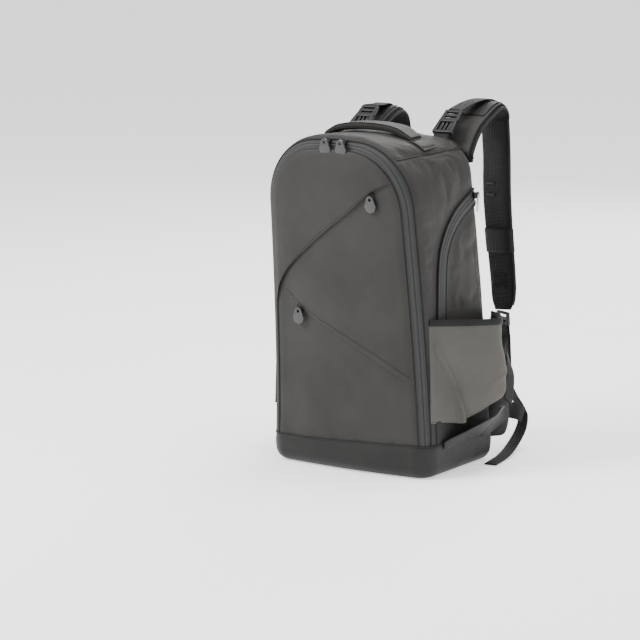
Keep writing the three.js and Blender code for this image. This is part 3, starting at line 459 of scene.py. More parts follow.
# The body: sides, top and back of one charcoal polyester, lined and lightly padded. Its side panels are
# sewn to the top gusset along a line on each shoulder, and the back is closed by the back pad.
main_fabric = bag_fabric("charcoal_polyester", (0.0165, 0.0152, 0.0138), (0.0225, 0.0208, 0.0191), 0.62, 0.03)
SEAM_SHARE = between(CROWN_SHARE, SIDE_SHARE, 0.47)
MOUTH_ANGLE = 63.0
profile_lengths = (
    math.radians(90.0 - MOUTH_ANGLE) * FRONT_RADIUS,
    BAG_DEPTH - FRONT_RADIUS - BACK_RADIUS,
    math.pi / 2 * BACK_RADIUS,
    90.0,
)


def body_profile(t):
    """Inset and depth from the front zip round to the back, t by length."""
    place = t * sum(profile_lengths)
    first, second, third, _ = profile_lengths
    if place < first:
        return front_edge(between(MOUTH_ANGLE, 90.0, place / first))
    place -= first
    if place < second:
        return 0.0, between(FRONT_RADIUS - BAG_DEPTH / 2, BAG_DEPTH / 2 - BACK_RADIUS, place / second)
    place -= second
    if place < third:
        return back_edge(between(90.0, 0.0, place / third))
    return BACK_RADIUS + place - third, BAG_DEPTH / 2


def body_place(s, t):
    inset, y = body_profile(t)
    return skin(2.0 * s - 1.0, inset, y)


SIDE_ZIP_WIDTH, SIDE_ZIP_LOW, SIDE_ZIP_HIGH = 25.0, 205.0, 402.0
SIDE_ZIP_LINE = (
    (0.0, 0.0, 0.0),
    (0.16, 0.02, 0.2),
    (0.3, 0.04, 0.37),
    (0.42, 0.07, 0.52),
    (0.53, 0.13, 0.64),
    (0.66, 0.3, 0.775),
    (0.79, 0.54, 0.88),
    (0.9, 0.8, 0.95),
    (1.0, 1.0, 1.0),
)
MOUTH_Y = -79.07


def side_line(t):
    back, up = smooth_line(SIDE_ZIP_LINE, t)
    z = between(SIDE_ZIP_LOW, SIDE_ZIP_HIGH, up)
    foot = MOUTH_Y + lean(SIDE_ZIP_LOW) + 37.0
    top = BAG_DEPTH / 2 + lean(SIDE_ZIP_HIGH) - 11.0
    return Vector((0.0, between(foot, top, back), z))


zip_line = [side_line(i / 48) for i in range(49)]
SIDE_STRAP_Z, SIDE_STRAP_LENGTH = BAG_HEIGHT - 96.0, 116.0
# top of the dark sheet that paints the shade under each pocket
SHADE_SHEET_TOP = 84.0


def held_down(place):
    """1 where something is sewn flat to the body and 0 where its cloth is free."""
    held = (1.0 - ease(place.z, 228.0, 258.0)) * ease(abs(place.x), 100.0, 112.0)
    if place.x > 100.0 and place.z > 190.0:
        near = min((spot - Vector((0.0, place.y, place.z))).length for spot in zip_line)
        held = max(held, 1.0 - ease(near, 15.0, 34.0))
    if place.x < -100.0 and abs(place.z - SIDE_STRAP_Z) < 46.0:
        past = max(0.0, abs(place.y - lean(SIDE_STRAP_Z)) - SIDE_STRAP_LENGTH / 2)
        near = math.hypot(past, max(0.0, abs(place.z - SIDE_STRAP_Z) - 14.0))
        held = max(held, 1.0 - ease(near, 3.0, 24.0))
    if place.z > 460.0:
        near = abs(place.y - lean(place.z) - 15.4)
        held = max(held, (1.0 - ease(near, 20.0, 34.0)) * ease(abs(place.x), 58.0, 70.0))
    return held


def body_folds(place):
    """Folds of the side and top, in millimetres out of the surface."""
    y = place.y - lean(place.z)
    side = ease(abs(place.x), 112.0, 128.0)
    top = 1.0 - side
    loose = waves(place, 95.0) * 2.6 + waves(place, 38.0, 5.0) * 1.1
    near_zip = ease(y, -66.0, -20.0)
    drape = waves(Vector((place.x, place.y * 2.4, place.z * 0.55)), 60.0, 9.0) * 1.9 * side
    tug = waves(Vector((place.x * 1.8, place.y * 0.6, place.z)), 46.0, 2.0) * 1.3 * top
    sewn = ease(place.z, 46.0, 78.0)
    free = near_zip * sewn * ease(96.0 - y, -2.0, 24.0) * (1.0 - held_down(place))
    return (loose + drape + tug) * free


body = cloth_sheet(300, 84, body_place)
swell_out(body, body_folds)
bag_body = mesh_piece(body, "bag_body", main_fabric, ["body_shell"])


def seam_line(side, t):
    """Where the side panel meets the top gusset."""
    return body_place((1.0 + side * SEAM_SHARE) / 2.0, t)


def seam_distance(place):
    """How far a place on the shoulder is from the seam, along the arch."""
    y = place.y - lean(place.z)
    depth_share = limit(y / BAG_DEPTH + 0.5)
    _, wide, high, shoulder, flat, _ = arch(0.0, depth_share)
    angle = math.atan2((abs(place.x) - flat) / wide, max(place.z - shoulder, 0.01) / high)
    return (angle - 0.47 * math.pi / 2) * (wide + high) / 2


SEAM_DEPTH, SEAM_SPREAD = 1.6, 2.2
for vert in bag_body.data.vertices:
    place = vert.co / MM
    if place.z > 380.0 and abs(place.x) > 40.0:
        gap = seam_distance(place)
        outward = Vector((math.copysign(0.7, place.x), 0.0, 0.7)).normalized()
        vert.co -= outward * MM * SEAM_DEPTH * hump(gap, 0.0, SEAM_SPREAD)


def body_sewn(place):
    """Where the body's cloth is stitched fast: at its edges, its seams and what is sewn on it."""
    y = place.y - lean(place.z)
    if place.z < 50.0 or y < -76.0 or y > 80.0:
        return 1.0
    if place.z > 380.0 and abs(seam_distance(place)) < 3.0:
        return 1.0
    return 1.0 if held_down(place) > 0.4 else 0.0


billow(bag_body, body_sewn, 2.2, 0.012, 3.0)

# The boot: a shallow cup of smooth dark coated fabric round the foot of the bag, joined to the cloth above
# it by a piped seam. Its bottom edge is rounded over a foam base.
boot_fabric = bag_fabric(
    "dark_coated_fabric", (0.0058, 0.0056, 0.0054), (0.0082, 0.008, 0.0078), 0.52, 0.02, 0.8, 0.6
)
piping_black = bag_fabric("black_piping", (0.003, 0.003, 0.003), (0.0055, 0.0055, 0.0055), 0.55, 0.02, 0.7)
BOOT_PROUD = 1.4
FOOT_RADIUS = 19.0


def foot_plan(s, inset):
    """The foot seen from above, s going round from the middle of the back by the right side."""
    side = 1.0 if s < 0.5 else -1.0
    share = 2.0 * s if s < 0.5 else 2.0 - 2.0 * s
    lengths = (
        BAG_WIDTH / 2 - BACK_RADIUS,
        math.pi / 2 * BACK_RADIUS,
        BAG_DEPTH - FRONT_RADIUS - BACK_RADIUS,
        math.pi / 2 * FRONT_RADIUS,
        BAG_WIDTH / 2 - FRONT_RADIUS,
    )
    place = share * sum(lengths)
    if place < lengths[0]:
        return side * place, BAG_DEPTH / 2 - inset
    place -= lengths[0]
    if place < lengths[1]:
        d, y = back_edge(90.0 * place / lengths[1], -inset)
        return side * (BAG_WIDTH / 2 - d), y
    place -= lengths[1]
    if place < lengths[2]:
        return side * (BAG_WIDTH / 2 - inset), BAG_DEPTH / 2 - BACK_RADIUS - place
    place -= lengths[2]
    if place < lengths[3]:
        d, y = front_edge(90.0 - 90.0 * place / lengths[3], -inset)
        return side * (BAG_WIDTH / 2 - d), y
    d, y = front_face(FRONT_RADIUS + place - lengths[3], -inset)
    return side * (BAG_WIDTH / 2 - d), y


def boot_top(x, y):
    """The seam bows: low at the front's left end and high at its right."""
    forward = ease(-y, -60.0, 70.0)
    return BASE_HEIGHT + forward * 4.2 * math.sin(limit(x / 130.0, -1.0) * math.pi / 2)


def boot_place(s, t):
    x, y = foot_plan(s, 0.0)
    top = boot_top(x, y)
    if t < 0.06:
        inset, z = between(3.0, -BOOT_PROUD, t / 0.06), top - 0.5
    elif t < 0.55:
        share = (t - 0.06) / 0.49
        inset, z = -BOOT_PROUD - 1.3 * math.sin(math.pi * share) * 0.6, between(top, FOOT_RADIUS, share)
    elif t < 0.85:
        turn = (t - 0.55) / 0.3 * math.pi / 2
        inset = -BOOT_PROUD + FOOT_RADIUS * (1.0 - math.cos(turn))
        z = FOOT_RADIUS * (1.0 - math.sin(turn)) + 0.2
    else:
        inset, z = FOOT_RADIUS - BOOT_PROUD + (t - 0.85) / 0.15 * 4.0, 0.2
    x, y = foot_plan(s, inset)
    return Vector((x, y, z))


def boot_folds(place):
    free = ease(place.z, 2.0, 16.0) * ease(44.0 - place.z, -2.0, 10.0)
    corner = hump(abs(place.x), 128.0, 9.0) * hump(place.y, -84.0, 14.0)
    return (waves(place, 60.0, 3.0) * 1.5 + waves(place, 24.0, 8.0) * 0.6 - corner * 0.9) * free


bm = cloth_sheet(360, 40, boot_place)
bmesh.ops.remove_doubles(bm, verts=bm.verts, dist=0.0002)
floor_edges = [e for e in bm.edges if e.is_boundary and e.verts[0].co.z < 0.005]
bmesh.ops.holes_fill(bm, edges=floor_edges, sides=0)
bmesh.ops.recalc_face_normals(bm, faces=bm.faces)
swell_out(bm, boot_folds)
mesh_piece(bm, "boot", boot_fabric, ["base_boot"])


def cord_along(name, points, radius, finish, closed=False, sides=8):
    """A thin round cord through points, such as piping, made a mesh."""
    curve = bpy.data.curves.new(name, "CURVE")
    curve.dimensions = "3D"
    curve.bevel_depth = radius * MM
    curve.bevel_resolution = max(sides // 4 - 1, 0)
    curve.use_fill_caps = not closed
    spline = curve.splines.new("POLY")
    spline.points.add(len(points) - 1)
    for spot, point in zip(spline.points, points):
        spot.co = (*(point * MM), 1.0)
    spline.use_cyclic_u = closed
    made = bpy.data.objects.new(name, curve)
    bpy.context.scene.collection.objects.link(made)
    mesh = bpy.data.meshes.new_from_object(made.evaluated_get(bpy.context.evaluated_depsgraph_get()))
    bpy.data.objects.remove(made)
    bm = bmesh.new()
    bm.from_mesh(mesh)
    bpy.data.meshes.remove(mesh)
    bmesh.ops.remove_doubles(bm, verts=bm.verts, dist=0.00001)
    return mesh_piece(bm, name, finish)


def under_pocket_shade_sheet(side):
    """A dark sheet of boot fabric low on the side, under the pocket: painted shade where the pocket overhangs
    the body's own side wall.
    """

    def place(s, t):
        z = between(46.0, SHADE_SHEET_TOP, t)
        return Vector((side * (half_width(z) + 0.9), between(-70.0, 70.0, s) + lean(z), z))

    return place


# Dark sheets of boot fabric under each pocket: painted shade on the body's own side wall, not a panel of the
# bag.
for side, name in ((1.0, "right"), (-1.0, "left")):
    bm = cloth_sheet(60, 20, under_pocket_shade_sheet(side))
    mesh_piece(bm, "under_pocket_shade_sheet_" + name, boot_fabric)


def boot_seam(s):
    x, y = foot_plan(s, 0.0)
    x2, y2 = foot_plan(s, -BOOT_PROUD + 0.3)
    return Vector((x2, y2, boot_top(x, y) + 0.4))


cord_along("boot_piping", [boot_seam(i / 360) for i in range(360)], 1.25, piping_black, True)

# The front zip: two grey tapes that meet over a hidden coil, in the rounded corner between the flap and
# the body, with a black piping cord sewn along both edges. It ends at the boot on both sides.
TAPE_FRONT, TAPE_SIDE = 27.0, 63.0


def zip_fabric(name, low, high, pitch):
    """Woven zip tape: fine cross ribs along it."""
    finish = Finish(name, {"Specular IOR Level": 0.25, "Sheen Weight": 0.02})
    across, along, _ = finish.axes(finish.along())
    ribs = (along * (2 * math.pi / (pitch * MM))).sine()
    clouds = finish.noise(finish.where(), 60.0, 3.0)
    grain = finish.noise(finish.where(), 1400.0, 2.0)
    finish.colour(finish.tint(clouds * 0.6 + grain * 0.4, low, high))
    finish.rough(grain * 0.14 + 0.48)
    finish.relief(ribs * 0.1 + grain * 0.25, 0.0007, 0.6)
    return finish


zip_tape = zip_fabric("grey_zip_tape", (0.0205, 0.0207, 0.0215), (0.031, 0.0313, 0.0325), 1.6)
ZIP_LENGTH = 1.16


def tape_lift(share):
    """Height over a zip's ground across it: two tapes, each with a stitched edge and a domed middle."""
    out = abs(share - 0.5) * 2.0
    dome = 1.1 * (1.0 - ((out - 0.22) / 0.26) ** 2) if out < 0.48 else 0.0
    stitched = -0.35 * hump(out, 0.56, 0.05)
    groove = -1.2 * hump(out, 0.0, 0.05)
    return 0.2 + max(dome, 0.0) * 0.9 + stitched + groove


def zip_place(s, t):
    inset, y = front_edge(between(TAPE_FRONT - 3.0, TAPE_SIDE + 3.0, s), tape_lift(s) - 0.6)
    return skin(2.0 * t - 1.0, inset, y)


bm = cloth_sheet(36, 520, zip_place, 0.022, ZIP_LENGTH)
mesh_piece(bm, "front_zip", zip_tape, ["main_zip"])


def edge_line(angle, lift, steps=420):
    inset, y = front_edge(angle, lift)
    return [skin(2.0 * i / steps - 1.0, inset, y) for i in range(steps + 1)]


cord_along("zip_piping_front", edge_line(TAPE_FRONT - 0.5, 0.1), 1.5, piping_black)
cord_along("zip_piping_side", edge_line(TAPE_SIDE + 0.5, 0.1), 1.5, piping_black)

# The front flap: a lower panel over the whole board, a middle wedge lapped over it and an upper pocket
# lapped over both. Each lap is a turned hem that stands off the cloth below.
UPPER_SEAM = (
    (-1.1, 0.38),
    (-0.846, 0.481),
    (-0.755, 0.548),
    (-0.6, 0.607),
    (-0.303, 0.678),
    (-0.024, 0.739),
    (0.241, 0.793),
    (0.496, 0.852),
    (0.639, 0.873),
    (0.774, 0.887),
    (1.1, 0.92),
)
LOWER_SEAM = (
    (-1.1, 0.7),
    (-0.8, 0.59),
    (-0.68, 0.54),
    (-0.49, 0.49),
    (-0.105, 0.43),
    (0.142, 0.393),
    (0.383, 0.357),
    (0.616, 0.32),
    (0.859, 0.277),
    (1.1, 0.23),
)
FLAP_INSET = FRONT_RADIUS * (1.0 - math.sin(math.radians(TAPE_FRONT)))


def seam_height(rows, x):
    return smooth_line(rows, x / (BAG_WIDTH / 2))[0] * BAG_HEIGHT


def face_inset(x, z):
    """How far in from the outline a place on the front is."""
    _, wide, high, shoulder, flat, crown = arch(0.0, 0.0)
    right, up = abs(x) - flat, z - shoulder
    if up <= 0.0:
        return half_width(z) - abs(x)
    if right <= 0.0:
        return shoulder + high + crown * (1.0 - (x / flat) ** 2) - z
    reach = math.hypot(right, up)
    edge = 1.0 / math.hypot(right / reach / wide, up / reach / high)
    return edge - reach


def face_place(x, z, lift=0.0):
    inset = face_inset(x, z)
    if inset >= FRONT_RADIUS:
        y = front_face(inset)[1]
    else:
        turn = math.asin(limit((FRONT_RADIUS - inset) / FRONT_RADIUS))
        y = -BAG_DEPTH / 2 + FRONT_RADIUS * (1.0 - math.cos(turn))
    return Vector((x, y - lift + lean(z), z))


def flap_half(z):
    """Half the flap's width at a height, up to where its arch starts."""
    return half_width(z) - FLAP_INSET


def crossing(low, high, test):
    for _ in range(40):
        middle = (low + high) / 2
        if test(middle) > 0.0:
            low = middle
        else:
            high = middle
    return (low + high) / 2


def above_seam(u):
    x, z = outline(u, FLAP_INSET, 0.02)
    return z - seam_height(UPPER_SEAM, x)


upper_right = crossing(0.05, 0.95, above_seam)
upper_left = -crossing(0.05, 0.95, lambda u: above_seam(-u))
wedge_tip = crossing(
    -100.0, -125.0, lambda x: seam_height(UPPER_SEAM, x) - seam_height(LOWER_SEAM, x)
)
LIP = 0.05


def lip_lift(t, stand):
    """A lap's hem: up from the cloth below, over its rolled edge and on to the panel."""
    share = t / LIP
    return stand * math.sin(limit(share) * math.pi / 2) ** 0.6


def front_waves(x, z, seed):
    place = Vector((x, 0.0, z))
    return waves(place, 70.0, seed) * 1.5 + waves(place, 27.0, seed + 4.0) * 0.55


def upper_place(s, t):
    u = between(upper_right, upper_left, s)
    out_x, out_z = outline(u, FLAP_INSET, 0.02)
    right_x, left_x = outline(upper_right, FLAP_INSET, 0.02)[0], outline(upper_left, FLAP_INSET, 0.02)[0]
    x = between(right_x, left_x, s)
    z = seam_height(UPPER_SEAM, x)
    share = max(0.0, (t - LIP) / (1.0 - LIP))
    tuck = 4.0 * max(0.0, 1.0 - t / (LIP * 0.5))
    ends = math.sin(math.pi * limit(s, 0.015, 0.985)) ** 0.18
    px, pz = between(x, out_x, share), between(z + tuck, out_z, share)
    reach = math.hypot(px - out_x, pz - out_z)
    full = 1.0 - math.exp(-reach / 26.0)
    fold = 2.6 * hump(reach, 58.0, 9.0) * hump(s, 0.1, 0.07)
    drape = front_waves(px, pz, 1.0) * full
    stand = 4.2 * ends + 1.2 * math.sin(6.0 * s + 0.6)
    puff = 4.6 * full * math.sin(math.pi * (0.18 + 0.82 * share)) ** 0.7
    lift = 0.5 + lip_lift(t, stand) * (0.62 + 0.38 * full) + puff + drape + fold
    return face_place(px, pz, lift)


def middle_place(s, t):
    share = max(0.0, (t - LIP) / (1.0 - LIP))
    tuck = 4.0 * max(0.0, 1.0 - t / (LIP * 0.5))
    x = between(wedge_tip, flap_half(200.0), s)
    for _ in range(3):
        low, high = seam_height(LOWER_SEAM, x), seam_height(UPPER_SEAM, x) + 5.0
        z = between(low + tuck, high, share)
        x = between(wedge_tip, half_edge(z), s)
    near_zip = 1.0 - math.exp(-max(face_inset(x, z) - FLAP_INSET, 0.0) / 18.0)
    ends = math.sin(math.pi / 2 * limit(s * 3.0)) * (0.4 + 0.6 * near_zip)
    stand = 4.0 * ends
    puff = 2.2 * math.sin(math.pi * limit(share + 0.08)) * near_zip * ends
    return face_place(x, z, 0.4 + lip_lift(t, stand) + puff + front_waves(x, z, 12.0) * near_zip * ends)


def half_edge(z):
    """Half the flap's width at any height."""
    _, wide, high, shoulder, flat, _ = arch(FLAP_INSET, 0.02)
    if z <= shoulder:
        return half_width(z) - FLAP_INSET
    return flat + wide * math.sqrt(max(0.0, 1.0 - ((z - shoulder) / high) ** 2))


def lower_place(s, t):
    side = 2.0 * s - 1.0
    x = side * flap_half(200.0)
    for _ in range(3):
        top = min(seam_height(LOWER_SEAM, x), seam_height(UPPER_SEAM, x)) + 6.0
        z = between(TUCKED, top, t)
        x = side * half_edge(z)
    near_zip = 1.0 - math.exp(-max(face_inset(x, z) - FLAP_INSET, 0.0) / 16.0)
    sewn = ease(z, 46.0, 74.0)
    gather = 0.9 * math.sin(x / 7.0 + waves(Vector((x, 0.0, z)), 30.0) * 3.0) * hump(z, 50.0, 9.0) * 0.5
    return face_place(x, z, -0.2 + front_waves(x, z, 25.0) * near_zip * sewn + gather)


def front_panel(name, across, along, where, node):
    return mesh_piece(cloth_sheet(across, along, where), name, main_fabric, [node])


front_panel("upper_panel", 150, 84, upper_place, "front_upper_panel")
front_panel("middle_panel", 130, 84, middle_place, "front_middle_panel")
front_panel("lower_panel", 130, 100, lower_place, "front_lower_panel")


def stitches(name, line, finish, dash=2.8, pitch=4.2, thick=0.55):
    """A row of thread dashes that lies along a line."""
    bm = bmesh.new()
    walked, due = 0.0, 0.0
    for start, end in zip(line, line[1:]):
        step = (end - start).length
        while step and due <= walked + step:
            middle = start.lerp(end, (due - walked) / step) * MM
            turn = (end - start).to_track_quat("X", "Z").to_matrix().to_4x4()
            size = Matrix.Diagonal((dash * MM, thick * MM, thick * MM, 1.0))
            bmesh.ops.create_cube(bm, size=1.0, matrix=Matrix.Translation(middle) @ turn @ size)
            due += pitch
        walked += step
    return mesh_piece(bm, name, finish, smooth=False)


thread = bag_fabric("dark_thread", (0.009, 0.0085, 0.008), (0.014, 0.0132, 0.0125), 0.6, 0.02)
off = Vector((0.0, -0.25, 0.0))
upper_line = [upper_place(0.03 + 0.94 * i / 200, 0.078) + off for i in range(201)]
middle_line = [middle_place(0.06 + 0.93 * i / 200, 0.085) + off for i in range(201)]
stitches("upper_lap_stitches", upper_line, thread)
stitches("middle_lap_stitches", middle_line, thread)


def flap_lining_place(s, t):
    side = 2.0 * s - 1.0
    z = between(TUCKED + 1.0, 440.0, t)
    x = side * (half_edge(z) - 3.0)
    return face_place(x, z, -4.5)


bm = cloth_sheet(40, 60, flap_lining_place)
mesh_piece(bm, "flap_lining", main_fabric, ["front_flap"])

# The seams of the body: a thin piping in its own fabric where the side panels meet the top gusset.
for side, name in ((1.0, "right"), (-1.0, "left")):
    line = [seam_line(side, 0.03 + 0.6 * i / 120) for i in range(121)]
    cord_along("shoulder_seam_" + name, line, 0.9, main_fabric)
inset, y = back_edge(60.0, 0.6)
line = [skin(u / 100, inset, y) for u in range(-28, 29)]
cord_along("back_edge_binding", line, 1.7, piping_black)


# The side access zip on the right: a broad grey tape that runs from the back edge forward and down
# behind the pocket, piped in black along both edges.
def side_point(t, across, lift):
    """A place on the side zip: how far along it, how far off its middle and off the fabric."""
    way = (side_line(min(t + 0.01, 1.0)) - side_line(max(t - 0.01, 0.0))).normalized()
    spot = side_line(t) + Vector((0.0, -way.z, way.y)) * across
    depth = spot.y - lean(spot.z)
    edge = max(0.0, depth - (BAG_DEPTH / 2 - BACK_RADIUS))
    tucked = BACK_RADIUS - math.sqrt(max(BACK_RADIUS**2 - edge**2, 0.0))
    corner = arch(0.0, limit(depth / BAG_DEPTH + 0.5))
    over = max(0.0, spot.z - corner[3]) / corner[2]
    wall = half_width(spot.z) if over <= 0.0 else corner[4] + corner[1] * math.sqrt(max(0.0, 1.0 - over**2))
    return Vector((wall - tucked + 1.2 + lift, spot.y, spot.z))


bm = cloth_sheet(
    30, 160, lambda s, t: side_point(t, (s - 0.5) * (SIDE_ZIP_WIDTH - 3.0), tape_lift(s) + 1.0), 0.022, 0.25
)
mesh_piece(bm, "side_access_zip", zip_tape, ["side_zip"])
for edge, name in ((1.0, "front"), (-1.0, "back")):
    line = [side_point(i / 160, edge * (SIDE_ZIP_WIDTH / 2 - 1.5), 0.9) for i in range(161)]
    cord_along("side_zip_piping_" + name, line, 1.5, piping_black)


# The side pockets: stretch fabric gathered over a front gusset, which folds where the full part starts.
# The rim is bound in black elastic.
stretch_fabric = bag_fabric(
    "stretch_knit", (0.062, 0.059, 0.0525), (0.08, 0.0755, 0.0675), 0.8, 0.05, 0.9, 1.5
)
elastic_black = bag_fabric("black_elastic", (0.003, 0.003, 0.003), (0.0055, 0.0055, 0.0055), 0.7, 0.03, 1.6)
POCKET_LENGTH, POCKET_BULGE, BINDING_HIGH, POCKET_WALL = 174.0, 57.0, 9.0, 2.0
POCKET_ROWS = (
    (0.0, 0.34, 0.12, 0.8),
    (0.08, 0.32, 0.14, 0.9),
    (0.33, 0.24, 0.12, 0.97),
    (0.55, 0.14, 0.08, 1.0),
    (0.72, 0.05, 0.05, 1.0),
    (1.0, 0.04, 0.05, 1.0),
)
POCKET_SECTION = ((0.0, 0.0), (0.2, 0.44), (0.4, 0.77), (0.6, 0.96), (0.76, 0.68), (0.9, 0.36), (1.0, 0.0))
GUSSET = 0.2  # this share of the sheet covers the gusset


def pocket_bottom(share):
    if share < 0.34:
        return 75.0 + 11.0 * (1.0 - share / 0.34)
    return 75.0 + 54.0 * (share - 0.34) / 0.66


def pocket_point(side, s, up, proud=0.0, drop=BINDING_HIGH):
    """A place on a pocket: s from its front edge to its back, up from its bottom to under its binding."""
    crease, lift, bulge = smooth_line(POCKET_ROWS, up)
    if s < GUSSET:
        share = crease * s / GUSSET
        stands = lift * POCKET_BULGE * (s / GUSSET) ** 2.2
    else:
        along = (s - GUSSET) / (1.0 - GUSSET)
        share = crease + (1.0 - crease) * along
        out = smooth_line(POCKET_SECTION, along)[0]
        base = lift * (1.0 - along**6)
        stands = between(base, bulge, max(out, 0.0)) * POCKET_BULGE
    z = between(pocket_bottom(share), 236.0 - 12.0 * share - drop, up)
    y = MOUTH_Y + lean((pocket_bottom(0.5) + 230.0) / 2) + 3.0 + POCKET_LENGTH * share
    ridge = 11.0 * hump(s, GUSSET + 0.02, 0.024) * limit(1.1 - up * 1.3) ** 0.6
    out_of_wall = max(stands, 0.0) + proud + ridge
    return Vector((side * (half_width(z) + out_of_wall), y, z))


def pocket_place(side):
    def place(s, t):
        if t < 0.06:
            spot = pocket_point(side, s, 0.0)
            wall = half_width(spot.z) + 0.4
            spot.x = side * between(wall, abs(spot.x), t / 0.06)
            return spot
        return pocket_point(side, s, (t - 0.06) / 0.94)

    return place


def rim_place(side):
    def place(s, t):
        return pocket_point(side, s, 1.0, 0.6 * math.sin(math.pi * t), BINDING_HIGH * (1.05 - t))

    return place


def pocket_folds(place):
    side = math.copysign(1.0, place.x)
    y = place.y - lean(place.z)
    edge = ease(place.z, 78.0, 100.0) * ease(228.0 - place.z, 0.0, 30.0)
    far = ease(y, -74.0, -40.0) * ease(92.0 - y, 0.0, 20.0)
    pull = hump(place.z - 112.0 - 0.5 * (y + 20.0), 0.0, 5.0) * 1.5 * hump(y, 45.0, 22.0)
    tuck = hump(place.z + 1.15 * (y + 20.0), 150.0, 12.0) * 1.6 * hump(y, -24.0, 26.0)
    return (waves(place, 52.0, 31.0 * side) * 2.2 + waves(place, 20.0, 7.0) * 0.5 + pull - tuck) * edge * far


for side, name in ((1.0, "right"), (-1.0, "left")):
    bm = cloth_sheet(130, 90, pocket_place(side), 0.23, 0.15)
    bmesh.ops.remove_doubles(bm, verts=bm.verts, dist=0.00005)
    swell_out(bm, pocket_folds)
    pocket = mesh_piece(bm, "pocket_" + name, stretch_fabric, ["side_pocket_" + name])
    thicken(pocket, POCKET_WALL, -1.0)
    bm = cloth_sheet(130, 8, rim_place(side), 0.23, 0.01)
    rim = mesh_piece(bm, "pocket_rim_" + name, elastic_black, ["pocket_binding_" + name])
    thicken(rim, 2.9, 0.0)


# Flat and padded bands. Each follows stops: its middle, the way its width points, its width and thickness.
def flat_section(s):
    turn = 2.0 * math.pi * s
    w, t = math.cos(turn), math.sin(turn)
    return math.copysign(abs(w) ** 0.45, w), math.copysign(abs(t) ** 0.3, t)


def padded_section(s):
    turn = 2.0 * math.pi * s
    w, t = math.cos(turn), math.sin(turn)
    return math.copysign(abs(w) ** 0.62, w), math.copysign(abs(t) ** 0.62, t)


def band_rows(stops):
    """The stops as rows on a smooth line, placed by how far along the band they are."""
    rows, length = [], 0.0
    for i, (middle, across, width, thick) in enumerate(stops):
        if i:
            length += (middle - stops[i - 1][0]).length
        rows.append((length, *middle, *across, width, thick))
    return [(row[0] / length, *row[1:]) for row in rows], length


def band_point(rows, t, w, out, grow=0.0):
    """A place on a band: w is -1 to 1 across it and out is -1 to 1 through it."""
    found = smooth_line(rows, t)
    before = Vector(smooth_line(rows, max(t - 0.004, 0.0))[:3])
    after = Vector(smooth_line(rows, min(t + 0.004, 1.0))[:3])
    along = (after - before).normalized()
    across = Vector(found[3:6])
    across = (across - along * across.dot(along)).normalized()
    normal = along.cross(across)
    half, deep = found[6] / 2 + grow, found[7] / 2 + grow
    return Vector(found[:3]) + across * (w * half) + normal * (out * deep)


def band_mesh(stops, section, around, steps, start=0.0, end=1.0, grow=0.0):
    rows, length = band_rows(stops)

    def place(s, t):
        w, out = section(s)
        return band_point(rows, between(start, end, t), w, out, grow)

    bm = cloth_sheet(around, steps, place, 0.001 * 2.0 * stops[0][2], 0.001 * length * (end - start))
    bmesh.ops.remove_doubles(bm, verts=bm.verts, dist=0.000002)
    bmesh.ops.holes_fill(bm, edges=[e for e in bm.edges if e.is_boundary], sides=0)
    return bm


def ribbed(name, low, high, pitch, deep):
    """Woven webbing: ribs along it crossed by fine picks, dull and black."""
    finish = Finish(name, {"Specular IOR Level": 0.22, "Sheen Weight": 0.03})
    across, along, _ = finish.axes(finish.along())
    ribs = (across * (2 * math.pi / (pitch * MM))).sine()
    picks = (along * (2 * math.pi / (1.3 * MM))).sine()
    grain = finish.noise(finish.where(), 700.0, 2.0)
    finish.colour(finish.tint(grain * 0.6 + ribs * 0.12 + 0.2, low, high))
    finish.rough(grain * 0.2 + 0.55)
    finish.relief(ribs * 0.25 + picks * 0.2 + grain * 0.3, deep, 0.7)
    return finish


def spacer_mesh(name, low, high, pitch):
    """Air mesh: rows of small open diamonds over a soft ground."""
    finish = Finish(name, {"Specular IOR Level": 0.2, "Sheen Weight": 0.04})
    across, along, _ = finish.axes(finish.along())
    turn = 2 * math.pi / (pitch * MM)
    cells = ((across + along * 0.6) * turn).sine() * ((across - along * 0.6) * turn).sine()
    grain = finish.noise(finish.where(), 900.0, 2.0)
    finish.colour(finish.tint((cells + grain).over(0.2, 1.1), low, high))
    finish.rough(grain * 0.15 + 0.7)
    finish.relief(cells * 0.8 + grain * 0.25, 0.0012, 0.8)
    return finish


webbing = ribbed("black_webbing", (0.0028, 0.0028, 0.003), (0.0062, 0.0062, 0.0066), 2.4, 0.0007)
air_mesh = spacer_mesh("black_air_mesh", (0.0015, 0.0015, 0.0016), (0.0125, 0.0125, 0.013), 2.6)

# The fins: folded sheets of the boot's fabric that run from the base seam out to a tip behind each pocket.
# They carry the lower ends of the shoulder straps.
STRAP_TURN = 24.0
WEBBING, NARROW, WEB_THICK = 25.0, 20.0, 2.0
FIN_ROWS = ((0.0, 0.04, 0.3), (0.25, 0.4, 0.8), (0.5, 0.9, 0.85), (0.68, 0.8, 0.78), (0.85, 0.5, 0.6))
FIN_FOOT_X, FIN_LENGTH, FIN_WIDE, FIN_THICK = 142.6, 156.0, 44.0, 2.6
FIN_TIP_X, FIN_TIP_Y, FIN_TIP_Z = 156.6, 100.0, 87.0


def turned(side, share):
    angle = math.radians(STRAP_TURN * share)
    return Vector((math.cos(angle), -side * math.sin(angle), 0.0))


def fin_stops(side):
    stops = []
    for back, wide, up in FIN_ROWS:
        foot = Vector((side * FIN_FOOT_X, FIN_TIP_Y - FIN_LENGTH * (1.0 - back), BASE_HEIGHT - FIN_THICK))
        share = (foot.y - (MOUTH_Y + lean(75.0) + 3.0)) / POCKET_LENGTH
        room = pocket_bottom(share) - BASE_HEIGHT - FIN_THICK
        reach = Vector((side * wide * FIN_WIDE, 0.0, up * room))
        stops.append((foot + reach / 2, reach.normalized(), reach.length, FIN_THICK))
    tip = Vector((side * FIN_TIP_X, FIN_TIP_Y, FIN_TIP_Z - NARROW / 2))
    stops.append((tip, Vector((0.0, 0.0, 1.0)), NARROW, FIN_THICK))
    return stops


for side, name in ((1.0, "right"), (-1.0, "left")):
    bm = band_mesh(fin_stops(side), flat_section, 32, 90)
    mesh_piece(bm, "fin_" + name, boot_fabric, ["side_fin_" + name])

